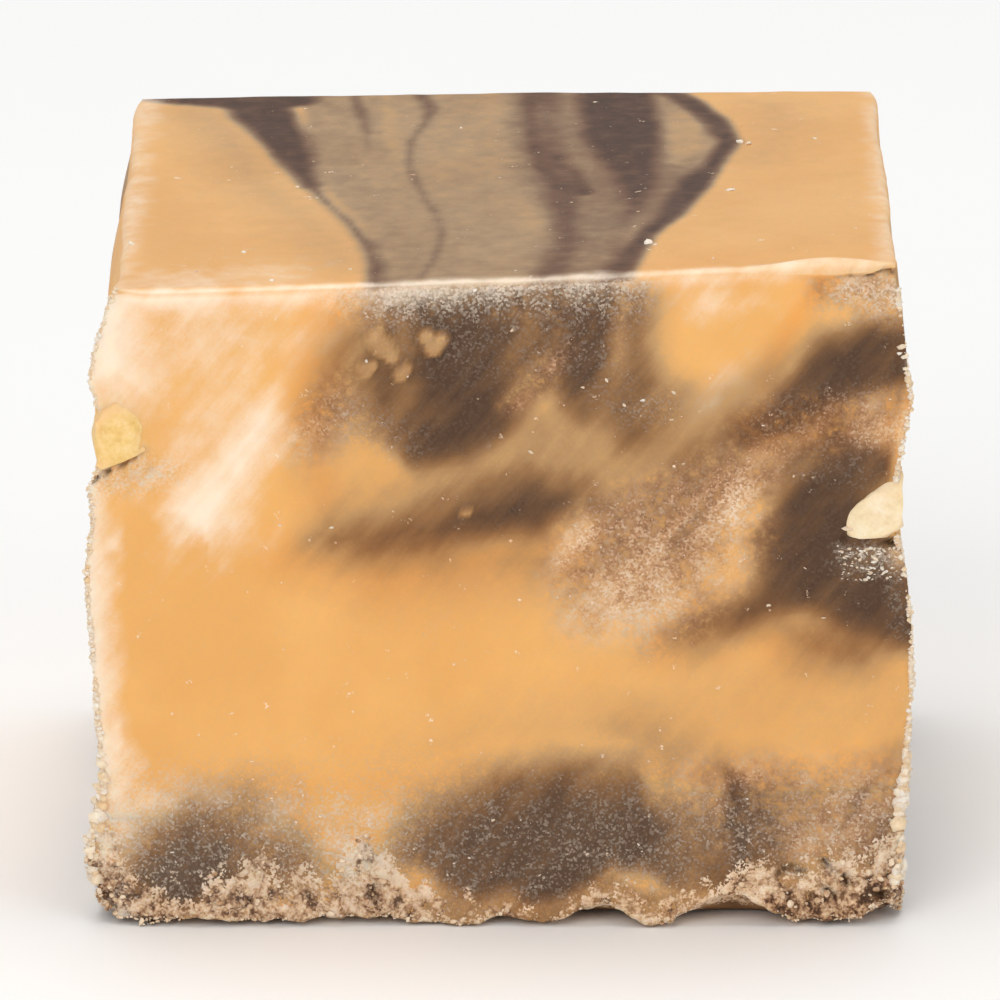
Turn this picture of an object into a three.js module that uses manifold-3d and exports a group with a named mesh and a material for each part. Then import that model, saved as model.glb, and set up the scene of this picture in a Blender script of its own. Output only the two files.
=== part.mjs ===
// A cube of layered fudge, cut by hand from a slab: a chocolate base, a caramel body whose top is
// marbled with chocolate, and pieces of nut that the knife has cut through.
// Millimetres, +Z up, origin at the middle of the underside. The sugary front cut faces -Y.

import * as THREE from "three";
import { mergeVertices } from "three/addons/utils/BufferGeometryUtils.js";
import Module from "manifold-3d";

const wasm = await Module();
wasm.setup();

// ---------------------------------------------------------------- driving dimensions
const WIDTH = 30; // left to right, along the top edge of the front
const DEPTH = 30.4; // front to back
const HEIGHT = 25.9; // floor to the middle of the top's front edge
const TOP_RISE = { front: 1.1, back: 0.4 }; // how much higher the top is at the right than at the left
const TOP_TILT = 0.42; // how much higher the top is at the back than at the front
const BACK_FLARE = 0.5; // how much further out the left wall stands at the back

const WALL_DROP = 4; // height over which a wall leans out below its top edge
const LEAN = { front: 0.1, right: 0.25, back: 0.25, left: 0.6 }; // how far each wall leans out
const WALL_WAVE = 0.12; // unevenness of the cut walls
const DRAG_REACH = 2.5; // how far behind the front its upright edges are dragged out
const CORNER_PULL = 0.3; // how far the four upright corners are worn in
const EDGE_BAND = 3; // width of the band behind a wall that follows the wall's shape

const BASE_HEIGHT = 4.9; // thickness of the chocolate base at the middle of the front
const BASE_TILT = 0.05; // rise of the base's top for each millimetre to the right
const BASE_HUMP = { at: 3, width: 3, height: 1.1 }; // where chocolate swells up into the caramel
const BASE_DIP = { at: -6.2, width: 1.9, depth: 2.5, reach: 0.35 }; // where caramel sinks into it
const LAYER_GAP = 0.2; // clearance between the two layers
const SOCKET_GAP = 0.2; // clearance between a nut and its socket
const NUT_PROUD = 0.08; // how far a cut nut stands out of its wall
const SKIN_HEIGHT = 0.9; // thickness of the crust under the base
const SKIN_REACH = 0.55; // how far that crust stands out past the walls
const RIM_LIFT = 0.35; // usual height of the crust's lower edge above the floor
const RIM_BAND = 2.2; // width over which the underside curls up to that edge

const CRUMB_SIZE = { min: 0.4, max: 0.85 }; // radius of a crumb on the crust
const CRUMB_SPACING = 1.8; // distance from one crumb to the next along the rim
const CRUMB_STEP = 1.0; // height of one row of crumbs over the next, in a heap
const FLOOR_CLEARANCE = 0.05; // least height of a crumb above the floor
const LAYER_MARGIN = 0.5; // least depth of a crumb below the top of the base

const GRID = { across: 24, deep: 22, bodyRows: 14, baseRows: 5 }; // facets of a layer

const half = { x: WIDTH / 2, y: DEPTH / 2 };

// The knife drags the front's upright edges out into sugary fins. Each row is a height above the
// floor and how far the edge stands out there.
const DRAGGED = {
  left: [
    [0, 0.6],
    [1.2, 1.2],
    [2.8, 1.4],
    [5.6, 0.9],
    [8.4, 1.15],
    [11.4, 1.35],
    [13.9, 1.55],
    [16.2, 1.25],
    [17.5, 1.4],
    [18.6, 0.85],
    [20.4, 0.9],
    [21.6, 1.35],
    [22.8, 1.15],
    [24.6, 0.6],
    [25.6, 0.15],
  ],
  right: [
    [0, 0.2],
    [2.5, 0.65],
    [3.8, 0.55],
    [6.4, 0.9],
    [9.6, 1.1],
    [12, 1.05],
    [13.9, 0.85],
    [16.2, 0.35],
    [17.5, 0.35],
    [19.2, 0.6],
    [21, 1.0],
    [22.2, 0.8],
    [24.4, 0.55],
    [26.2, 0.25],
  ],
};

// Pieces broken out of the crust's front edge: place from left to right, width, height of the chip.
const CHIPS = [
  { at: 3.7, width: 1.5, height: 0.95 },
  { at: 8.8, width: 1.9, height: 1.35 },
  { at: 15, width: 1.2, height: 0.9 },
];

// Heaps of crumbs on the crust: the wall, the place along it, the heap's width and its rows.
const HEAPS = [
  { wall: "front", at: -14.8, width: 1.6, rows: 4 },
  { wall: "front", at: -6.5, width: 3.2, rows: 2 },
  { wall: "front", at: 12.5, width: 3.4, rows: 3 },
  { wall: "right", at: -14.2, width: 1.8, rows: 4 },
  { wall: "right", at: 6, width: 2.6, rows: 2 },
  { wall: "back", at: 9, width: 3, rows: 2 },
  { wall: "back", at: -11, width: 2.4, rows: 2 },
  { wall: "left", at: -14.4, width: 1.6, rows: 4 },
  { wall: "left", at: 3, width: 2.6, rows: 1 },
];

// Nuts: middle of each, its three radii, how far its top slants to the right, where its underside
// is flat as a share of its height, and the walls that the knife trimmed it level with.
const NUTS = [
  {
    name: "nut_left",
    at: [-14.9, -14.2, 19.5],
    radii: [1.3, 1.6, 1.5],
    turn: 0.5,
    slant: 0.1,
    foot: 0.6,
    cut: ["front", "left"],
  },
  {
    name: "nut_right",
    at: [14.4, -14.3, 16.6],
    radii: [1.4, 1.5, 1.4],
    turn: 1.1,
    slant: 0.35,
    foot: 0.7,
    cut: ["front", "right"],
  },
  {
    name: "nut_side",
    at: [14.8, 3.2, 19.2],
    radii: [1.3, 1.7, 1.3],
    turn: 2.1,
    slant: 0,
    foot: 0.8,
    cut: ["right"],
  },
  {
    name: "nut_back_a",
    at: [-6.4, 15.0, 20.6],
    radii: [1.7, 1.3, 1.4],
    turn: 0.2,
    slant: -0.3,
    foot: 1,
    cut: ["back"],
  },
  {
    name: "nut_back_b",
    at: [4.8, 15.0, 18.4],
    radii: [1.3, 1.2, 1.6],
    turn: 1.7,
    slant: 0.2,
    foot: 0.6,
    cut: ["back"],
  },
];

// ---------------------------------------------------------------- small tools
const clamp = (t, low, high) => Math.min(high, Math.max(low, t));
const mix = (a, b, t) => a + (b - a) * t;
const bump = (t) => Math.exp(-t * t); // a smooth hill, 1 at t = 0

function smooth(from, to, t) {
  const s = clamp((t - from) / (to - from), 0, 1);
  return s * s * (3 - 2 * s);
}

// A repeatable number from 0 to 1 for each pair of whole numbers.
function scatter(i, j) {
  const t = Math.sin(i * 127.1 + j * 311.7) * 43758.5453;
  return t - Math.floor(t);
}

// Smooth unevenness from -1 to 1, with one hill or hollow in each unit of a and b.
function wave(a, b) {
  const [i, j] = [Math.floor(a), Math.floor(b)];
  const [s, t] = [smooth(0, 1, a - i), smooth(0, 1, b - j)];
  const near = mix(scatter(i, j), scatter(i + 1, j), s);
  const far = mix(scatter(i, j + 1), scatter(i + 1, j + 1), s);
  return 2 * mix(near, far, t) - 1;
}

// The distance in rows of [height, distance] at a height, along straight lines between the rows.
function rowAt(rows, height) {
  const next = rows.findIndex((row) => row[0] > height);
  if (next === 0) return rows[0][1];
  if (next < 0) return rows.at(-1)[1];
  const [[low, first], [high, last]] = [rows[next - 1], rows[next]];
  return mix(first, last, (height - low) / (high - low));
}

// ---------------------------------------------------------------- the surfaces of the block
function topHeight(x, y) {
  const back = (y + half.y) / DEPTH;
  const rise = (mix(TOP_RISE.front, TOP_RISE.back, back) * x) / WIDTH;
  return HEIGHT + rise + TOP_TILT * back + 0.08 * wave(x / 9 + 5, y / 9 + 5);
}

// The chocolate base is thick at the right and thins towards the back left. Near the front it
// swells up at one place and the caramel dips into it at another.
function layerHeight(x, y) {
  const back = (y + half.y) / DEPTH;
  const lie = BASE_HEIGHT + BASE_TILT * x + back * (0.09 * x - 1);
  const hump = BASE_HUMP.height * bump((x - BASE_HUMP.at) / BASE_HUMP.width);
  const dip = BASE_DIP.depth * bump((x - BASE_DIP.at) / BASE_DIP.width);
  const nearFront = 1 - smooth(0, BASE_DIP.reach, back);
  return lie + hump - dip * nearFront + 0.2 * wave(x / 5 + 11, y / 5 + 11);
}

// How far a wall stands out at a place along it and a height.
function wallOut(wall, along, z) {
  const below = topHeight(wall === "left" ? -half.x : half.x, 0) - z;
  const lean = LEAN[wall] * smooth(0, WALL_DROP, below);
  const number = ["front", "right", "back", "left"].indexOf(wall);
  const uneven = WALL_WAVE * wave(along / 4 + 20 * number, z / 4 + 3);
  const skin = SKIN_REACH * bump(z / SKIN_HEIGHT / 1.6) * (0.65 + 0.35 * wave(along / 1.4, number));
  const flare = wall === "left" ? (BACK_FLARE * (along + half.y)) / DEPTH : 0;
  const out = lean + uneven + skin + flare;
  if (!(wall in DRAGGED)) return out;
  return mix(rowAt(DRAGGED[wall], z), out, smooth(0, DRAG_REACH, along + half.y));
}

// Height of the crust's lower edge above the floor, along each wall.
function rimHeight(wall, along) {
  const number = ["front", "right", "back", "left"].indexOf(wall);
  const ragged = RIM_LIFT * (1 + wave(along / 1.7 + 31, number + 31));
  if (wall !== "front") return ragged;
  const chipped = CHIPS.reduce((most, c) => Math.max(most, c.height * bump((along - c.at) / c.width)), 0);
  return Math.max(ragged * 0.7, chipped);
}

// Height of the underside: flat on the floor, and curling up to the crust's edge at the walls.
function undersideHeight(x, y) {
  const rise = (wall, along, inside) => rimHeight(wall, along) * (1 - smooth(0, RIM_BAND, inside));
  return Math.max(
    rise("front", x, y + half.y),
    rise("back", x, half.y - y),
    rise("right", y, half.x - x),
    rise("left", y, x + half.x),
  );
}

// A point of the block from its place in a plain cuboid, with the walls' shape given to it.
function blockPoint(x, y, z) {
  const edgeX = smooth(half.x - EDGE_BAND, half.x, Math.abs(x));
  const edgeY = smooth(half.y - EDGE_BAND, half.y, Math.abs(y));
  const outX = x > 0 ? wallOut("right", y, z) : -wallOut("left", y, z);
  const outY = y > 0 ? wallOut("back", x, z) : -wallOut("front", x, z);
  const worn = CORNER_PULL * edgeX ** 4 * edgeY ** 4;
  return [x + outX * edgeX - worn * Math.sign(x), y + outY * edgeY - worn * Math.sign(y), z];
}

// ---------------------------------------------------------------- closed meshes and their joins
function closedMesh(geometry) {
  geometry.deleteAttribute("normal");
  geometry.deleteAttribute("uv");
  return mergeVertices(geometry, 1e-4);
}

// Moves every vertex of a closed mesh to where place(x, y, z) says.
function reshape(geometry, place) {
  const position = geometry.attributes.position;
  for (let i = 0; i < position.count; i++) {
    position.setXYZ(i, ...place(position.getX(i), position.getY(i), position.getZ(i)));
  }
  return geometry;
}

function toSolid(geometry) {
  return new wasm.Manifold(
    new wasm.Mesh({
      numProp: 3,
      vertProperties: new Float32Array(geometry.attributes.position.array),
      triVerts: new Uint32Array(geometry.index.array),
    }),
  );
}

function toGeometry(solid) {
  const mesh = solid.getMesh();
  return new THREE.BufferGeometry()
    .setAttribute("position", new THREE.BufferAttribute(mesh.vertProperties, 3))
    .setIndex(new THREE.BufferAttribute(mesh.triVerts, 1));
}

// ---------------------------------------------------------------- the two layers
// One layer of the block between two heights, as a grid whose lines crowd towards the walls.
function layer(lowHeight, highHeight, rows) {
  const crowd = (t) => t * (1.25 - 0.25 * t * t);
  const box = closedMesh(new THREE.BoxGeometry(2, 2, 2, GRID.across, GRID.deep, rows));
  return reshape(box, (u, v, w) => {
    const [x, y] = [half.x * crowd(u), half.y * crowd(v)];
    return blockPoint(x, y, mix(lowHeight(x, y), highHeight(x, y), (w + 1) / 2));
  });
}

// A crumb: a rough ball of few sides.
function crumb(number, middle, radius) {
  const ball = closedMesh(new THREE.IcosahedronGeometry(radius, 0));
  let corner = 0;
  reshape(ball, (x, y, z) => {
    const size = 0.75 + 0.5 * scatter(number, corner++);
    return [x * size, y * size, z * size * 0.8];
  });
  ball.rotateZ(scatter(number, 90) * Math.PI);
  ball.translate(...middle);
  ball.computeBoundingBox();
  ball.translate(0, 0, Math.max(0, FLOOR_CLEARANCE - ball.boundingBox.min.z));
  return toSolid(ball);
}

// Rows of crumbs at a place along a wall: one, and more in a heap.
function crumbRows(wall, along) {
  const heaps = HEAPS.filter((heap) => heap.wall === wall);
  return 1 + heaps.reduce((rows, h) => rows + Math.round(h.rows * bump((along - h.at) / h.width)), 0);
}

// Crumbs stuck along the crust, on all four walls.
function crustCrumbs() {
  const crumbs = [];
  const walls = [
    { wall: "front", length: half.x, place: (along, out) => [along, -half.y - out] },
    { wall: "right", length: half.y, place: (along, out) => [half.x + out, along] },
    { wall: "back", length: half.x, place: (along, out) => [along, half.y + out] },
    { wall: "left", length: half.y, place: (along, out) => [-half.x - out, along] },
  ];
  walls.forEach(({ wall, length, place }, number) => {
    const count = Math.floor((2 * length) / CRUMB_SPACING);
    for (let k = 0; k < count; k++) {
      const middle = mix(-length, length, (k + 0.5) / count);
      for (let row = 0; row < crumbRows(wall, middle); row++) {
        const seed = 200 * number + 10 * k + row;
        const along = middle + 0.6 * CRUMB_SPACING * (scatter(seed, 1) - 0.5);
        const radius = mix(CRUMB_SIZE.min, CRUMB_SIZE.max, scatter(seed, 2) / (1 + 0.4 * row));
        const wanted = rimHeight(wall, along) + 0.6 * radius + CRUMB_STEP * (row + 0.6 * scatter(seed, 3));
        const z = Math.min(wanted, layerHeight(...place(along, 0)) - radius - LAYER_MARGIN);
        const out = wallOut(wall, along, z) - 0.5 * radius;
        crumbs.push(crumb(seed, [...place(along, out), z], radius));
      }
    }
  });
  return crumbs;
}

// ---------------------------------------------------------------- the nuts
// A lump of nut, trimmed level with the walls that the knife went through.
function nutSolid({ at, radii, turn, slant, foot, cut }, grow) {
  const lump = closedMesh(new THREE.IcosahedronGeometry(1, 1));
  let corner = 0;
  reshape(lump, (x, y, z) => {
    const size = 0.88 + 0.24 * scatter(Math.round(turn * 10), corner++);
    const point = [(x + slant * z) * size, y * size, Math.max(z * size, -foot)];
    return point.map((t, i) => t * (radii[i] + grow));
  });
  lump.rotateZ(turn * 0.3);
  lump.translate(...at);
  const solid = toSolid(lump);
  if (grow > 0) return solid;
  const reach = 4;
  const inward = (wall, size) => size + LEAN[wall] + NUT_PROUD - reach;
  const keep = {
    front: [at[0], -inward("front", half.y), at[2]],
    right: [inward("right", half.x), at[1], at[2]],
    back: [at[0], inward("back", half.y), at[2]],
    left: [-inward("left", half.x), at[1], at[2]],
  };
  return cut.reduce((rest, wall) => {
    const block = closedMesh(new THREE.BoxGeometry(2 * reach, 2 * reach, 2 * reach));
    block.translate(...keep[wall]);
    return rest.intersect(toSolid(block));
  }, solid);
}

// ---------------------------------------------------------------- the pieces
const chocolate = new THREE.MeshStandardMaterial({ color: 0x52402f, roughness: 0.6, metalness: 0 });
const caramel = new THREE.MeshStandardMaterial({ color: 0xe8a961, roughness: 0.45, metalness: 0 });
const nutFlesh = new THREE.MeshStandardMaterial({ color: 0xead3a5, roughness: 0.7, metalness: 0 });

function piece(name, solid, material) {
  const mesh = new THREE.Mesh(toGeometry(solid), material);
  mesh.name = name;
  return mesh;
}

// The largest of the bodies that a join gave, without any crumb that missed the wall.
function largestBody(solid) {
  return solid.decompose().reduce((most, body) => (body.volume() > most.volume() ? body : most));
}

const baseTop = (x, y) => layerHeight(x, y) - LAYER_GAP;
const base = toSolid(layer(undersideHeight, baseTop, GRID.baseRows));
const body = toSolid(layer(layerHeight, topHeight, GRID.bodyRows));

const cube = new THREE.Group();
const crusted = largestBody(wasm.Manifold.union([base, ...crustCrumbs()]));
cube.add(piece("chocolate_base", crusted, chocolate));
const socketed = NUTS.reduce((rest, nut) => rest.subtract(nutSolid(nut, SOCKET_GAP)), body);
cube.add(piece("caramel_body", socketed, caramel));
for (const nut of NUTS) cube.add(piece(nut.name, nutSolid(nut, 0), nutFlesh));

export default cube;
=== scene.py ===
# %% [markdown]
# # A cube of layered fudge
#
# This lesson dresses one hand-cut cube of fudge. A slab is poured in three steps: dark chocolate
# fudge at the bottom, caramel fudge over it, and a last layer where both are stirred together with
# chopped nuts. When it has set, a knife cuts it into cubes.
#
# The solid model of the cube is already made and packed. Blender loads it as a fixed frame and adds
# what the eye sees: marbling, sugar, torn patches, crumbs and nuts.

import bmesh
import bpy
import numpy as np
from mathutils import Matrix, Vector
from mathutils.bvhtree import BVHTree


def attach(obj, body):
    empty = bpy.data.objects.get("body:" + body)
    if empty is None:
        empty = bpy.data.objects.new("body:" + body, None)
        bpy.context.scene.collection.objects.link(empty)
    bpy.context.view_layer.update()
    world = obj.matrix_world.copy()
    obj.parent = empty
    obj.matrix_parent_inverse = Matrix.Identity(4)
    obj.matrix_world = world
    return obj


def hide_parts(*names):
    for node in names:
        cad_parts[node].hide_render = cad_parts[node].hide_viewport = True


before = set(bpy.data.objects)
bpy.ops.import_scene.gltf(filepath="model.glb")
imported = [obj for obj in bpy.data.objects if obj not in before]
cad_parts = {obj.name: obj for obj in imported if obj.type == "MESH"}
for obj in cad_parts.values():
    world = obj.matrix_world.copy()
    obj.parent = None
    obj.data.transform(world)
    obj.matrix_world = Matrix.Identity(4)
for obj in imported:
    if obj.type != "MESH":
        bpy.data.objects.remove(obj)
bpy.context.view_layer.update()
print("solid nodes:", sorted(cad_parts))

# %% [markdown]
# ## The shape of the block
#
# The real cube isn't a perfect box. The knife leans out as it goes down, the chocolate base spreads
# into a thin skin, and the lower edge curls up a little. The solid model gives each of these as a
# formula, in millimetres. The same formulas are written here with numpy, which works on all the
# vertices at once, so the fine mesh follows the solid exactly and only adds what is smaller.

# %% Measures of the cube, in millimetres
MM = 0.001

WIDTH = 30.0
DEPTH = 30.4
HEIGHT = 25.9
HALF_X = WIDTH / 2
HALF_Y = DEPTH / 2
TOP_RISE_FRONT = 1.1
TOP_RISE_BACK = 0.4
TOP_TILT = 0.42
BACK_FLARE = 0.5

# each wall's axis, 0 for across and 1 for front to back, and on which side of the middle it is
SIDES = {"front": (1, -1), "right": (0, 1), "back": (1, 1), "left": (0, -1)}
WALLS = tuple(SIDES)
HALVES = (HALF_X, HALF_Y)
LEAN = {"front": 0.1, "right": 0.25, "back": 0.25, "left": 0.6}
WALL_DROP = 4.0
WALL_WAVE = 0.12
DRAG_REACH = 2.5
CORNER_PULL = 0.3
EDGE_BAND = 3.0

# %% Small tools for smooth shapes
def mix(a, b, t):
    return a + (b - a) * t


def smooth(start, end, t):
    s = np.clip((t - start) / (end - start), 0, 1)
    return s * s * (3 - 2 * s)


def bump(t):
    return np.exp(-t * t)


def scatter(i, j, k=0, seed=0):
    """A repeatable number from 0 to 1 for each set of whole numbers."""
    t = np.sin(i * 127.1 + j * 311.7 + k * 74.7 + seed * 19.19) * 43758.5453
    return t - np.floor(t)


def wave(a, b):
    """Smooth unevenness from -1 to 1, with one hill or hollow in each unit."""
    i, j = np.floor(a), np.floor(b)
    s, t = smooth(0, 1, a - i), smooth(0, 1, b - j)
    near = mix(scatter(i, j), scatter(i + 1, j), s)
    far = mix(scatter(i, j + 1), scatter(i + 1, j + 1), s)
    return 2 * mix(near, far, t) - 1


# %% Heights of the top, of the seam between the layers, and of the underside
BASE_HEIGHT = 4.9
BASE_TILT = 0.05
RIM_LIFT = 0.35
RIM_BAND = 2.2
CHIPS = [(3.7, 1.5, 0.95), (8.8, 1.9, 1.35), (15.0, 1.2, 0.9)]


def top_height(x, y):
    """The top rises a little to the right and to the back."""
    back = (y + HALF_Y) / DEPTH
    rise = mix(TOP_RISE_FRONT, TOP_RISE_BACK, back) * x / WIDTH
    return HEIGHT + rise + TOP_TILT * back + 0.08 * wave(x / 9 + 5, y / 9 + 5)


def layer_height(x, y):
    """The seam: it humps up at the right of the front and dips at its left."""
    back = (y + HALF_Y) / DEPTH
    lie = BASE_HEIGHT + BASE_TILT * x + back * (0.09 * x - 1)
    hump = 1.1 * bump((x - 3) / 3)
    dip = 2.5 * bump((x + 6.2) / 1.9) * (1 - smooth(0, 0.35, back))
    return lie + hump - dip + 0.2 * wave(x / 5 + 11, y / 5 + 11)


def rim_height(wall, along):
    """Height of the lower edge above the floor; pieces are chipped out of the front one."""
    number = WALLS.index(wall)
    ragged = RIM_LIFT * (1 + wave(along / 1.7 + 31, number + 31))
    if wall != "front":
        return ragged
    chipped = ragged * 0.7
    for at, width, height in CHIPS:
        chipped = np.maximum(chipped, height * bump((along - at) / width))
    return chipped


def underside_height(x, y):
    """Flat on the floor, and curled up along all four edges."""
    rises = [
        rim_height("front", x) * (1 - smooth(0, RIM_BAND, y + HALF_Y)),
        rim_height("back", x) * (1 - smooth(0, RIM_BAND, HALF_Y - y)),
        rim_height("right", y) * (1 - smooth(0, RIM_BAND, HALF_X - x)),
        rim_height("left", y) * (1 - smooth(0, RIM_BAND, x + HALF_X)),
    ]
    return np.maximum.reduce(rises)


# %% How far each wall stands out
SKIN_HEIGHT = 0.9
SKIN_REACH = 0.55

# the front's upright edges, dragged out by the knife: height above the floor, distance
DRAGGED = {
    "left": [
        (0, 0.6), (1.2, 1.2), (2.8, 1.4), (5.6, 0.9), (8.4, 1.15), (11.4, 1.35), (13.9, 1.55), (16.2, 1.25),
        (17.5, 1.4), (18.6, 0.85), (20.4, 0.9), (21.6, 1.35), (22.8, 1.15), (24.6, 0.6), (25.6, 0.15),
    ],
    "right": [
        (0, 0.2), (2.5, 0.65), (3.8, 0.55), (6.4, 0.9), (9.6, 1.1), (12, 1.05), (13.9, 0.85), (16.2, 0.35),
        (17.5, 0.35), (19.2, 0.6), (21, 1.0), (22.2, 0.8), (24.4, 0.55), (26.2, 0.25),
    ],
}


def wall_out(wall, along, z):
    """How far a wall stands out of the plain cuboid, in millimetres."""
    number = WALLS.index(wall)
    below = top_height(-HALF_X if wall == "left" else HALF_X, 0) - z
    out = LEAN[wall] * smooth(0, WALL_DROP, below)
    out = out + WALL_WAVE * wave(along / 4 + 20 * number, z / 4 + 3)
    skin = 0.65 + 0.35 * wave(along / 1.4, number)
    out = out + SKIN_REACH * skin * bump(z / SKIN_HEIGHT / 1.6)
    if wall == "left":
        out = out + BACK_FLARE * (along + HALF_Y) / DEPTH
    if wall in DRAGGED:
        heights, distances = zip(*DRAGGED[wall])
        out = mix(np.interp(z, heights, distances), out, smooth(0, DRAG_REACH, along + HALF_Y))
    return out


def block_point(x, y, z):
    """Moves a point of a plain cuboid to where it is on the hand-cut block."""
    edge_x = smooth(HALF_X - EDGE_BAND, HALF_X, np.abs(x))
    edge_y = smooth(HALF_Y - EDGE_BAND, HALF_Y, np.abs(y))
    out_x = np.where(x > 0, wall_out("right", y, z), -wall_out("left", y, z))
    out_y = np.where(y > 0, wall_out("back", x, z), -wall_out("front", x, z))
    worn = CORNER_PULL * edge_x**4 * edge_y**4
    return x + out_x * edge_x - worn * np.sign(x), y + out_y * edge_y - worn * np.sign(y), z


print("height of the top at the left and the right:", top_height(-HALF_X, 0), top_height(HALF_X, 0))

# %% [markdown]
# ## Marbling
#
# Marbled fudge has long ribbons of chocolate where the two mixtures were folded together. They could
# be made with a stretched wave texture, but then they would lie anywhere. Here each ribbon is laid
# down like icing from a bag: a line of points with a half width and a strength at each. The strength
# is how much chocolate is in the mixture, from 0 for pure caramel to 1 for pure chocolate. A ribbon
# also has a softness, because the warm mixtures melt into each other.
#
# Three sets are enough. One is what the knife shows on the front, one on the back, and one is the
# swirl on the top. Inside the block the front set drifts and melts into the back set, so the two
# sides show ribbons that join up with both.

# %% Laying a ribbon
def near_path(a, b, path):
    """Distance outside a ribbon, and the ribbon's strength at its nearest place."""
    nearest = np.full(np.shape(a), 1e9)
    strength = np.zeros(np.shape(a))
    for (a0, b0, r0, s0), (a1, b1, r1, s1) in zip(path, path[1:]):
        da, db = a1 - a0, b1 - b0
        t = np.clip(((a - a0) * da + (b - b0) * db) / (da * da + db * db), 0, 1)
        outside = np.hypot(a - a0 - t * da, b - b0 - t * db) - mix(r0, r1, t)
        closer = outside < nearest
        nearest = np.where(closer, outside, nearest)
        strength = np.where(closer, mix(s0, s1, t), strength)
    return nearest, strength


def lay_over(a, b, ribbons):
    """Ribbons laid one over the other: each hides what it covers."""
    mixture = np.zeros(np.shape(a))
    for softness, path in ribbons:
        outside, strength = near_path(a, b, path)
        mixture = mix(mixture, strength, 1 - smooth(-softness, softness, outside))
    return mixture


def rub_on(a, b, ribbons):
    """Smears rubbed on together: where they overlap, the strongest one counts."""
    most = np.zeros(np.shape(a))
    for softness, path in ribbons:
        outside, strength = near_path(a, b, path)
        most = np.maximum(most, strength * (1 - smooth(-softness, softness, outside)))
    return most


# %% Lumpy unevenness in three directions
def lumps(x, y, z, size, seed, layers=2):
    """Noise from -1 to 1 whose largest lumps are `size` millimetres; each layer is half as large."""
    total, weight, reach = 0, 1, 0
    for layer in range(layers):
        scaled = [c * 2**layer / size + seed for c in (x, y, z)]
        i, j, k = [np.floor(c) for c in scaled]
        r, s, t = [smooth(0, 1, c - np.floor(c)) for c in scaled]
        edges = []
        for up in (0, 1):
            for far in (0, 1):
                near_end = scatter(i, j + far, k + up, seed + layer)
                far_end = scatter(i + 1, j + far, k + up, seed + layer)
                edges.append(mix(near_end, far_end, r))
        value = mix(mix(edges[0], edges[1], s), mix(edges[2], edges[3], s), t)
        total = total + weight * (2 * value - 1)
        reach += weight
        weight *= 0.5
    return total / reach


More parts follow.
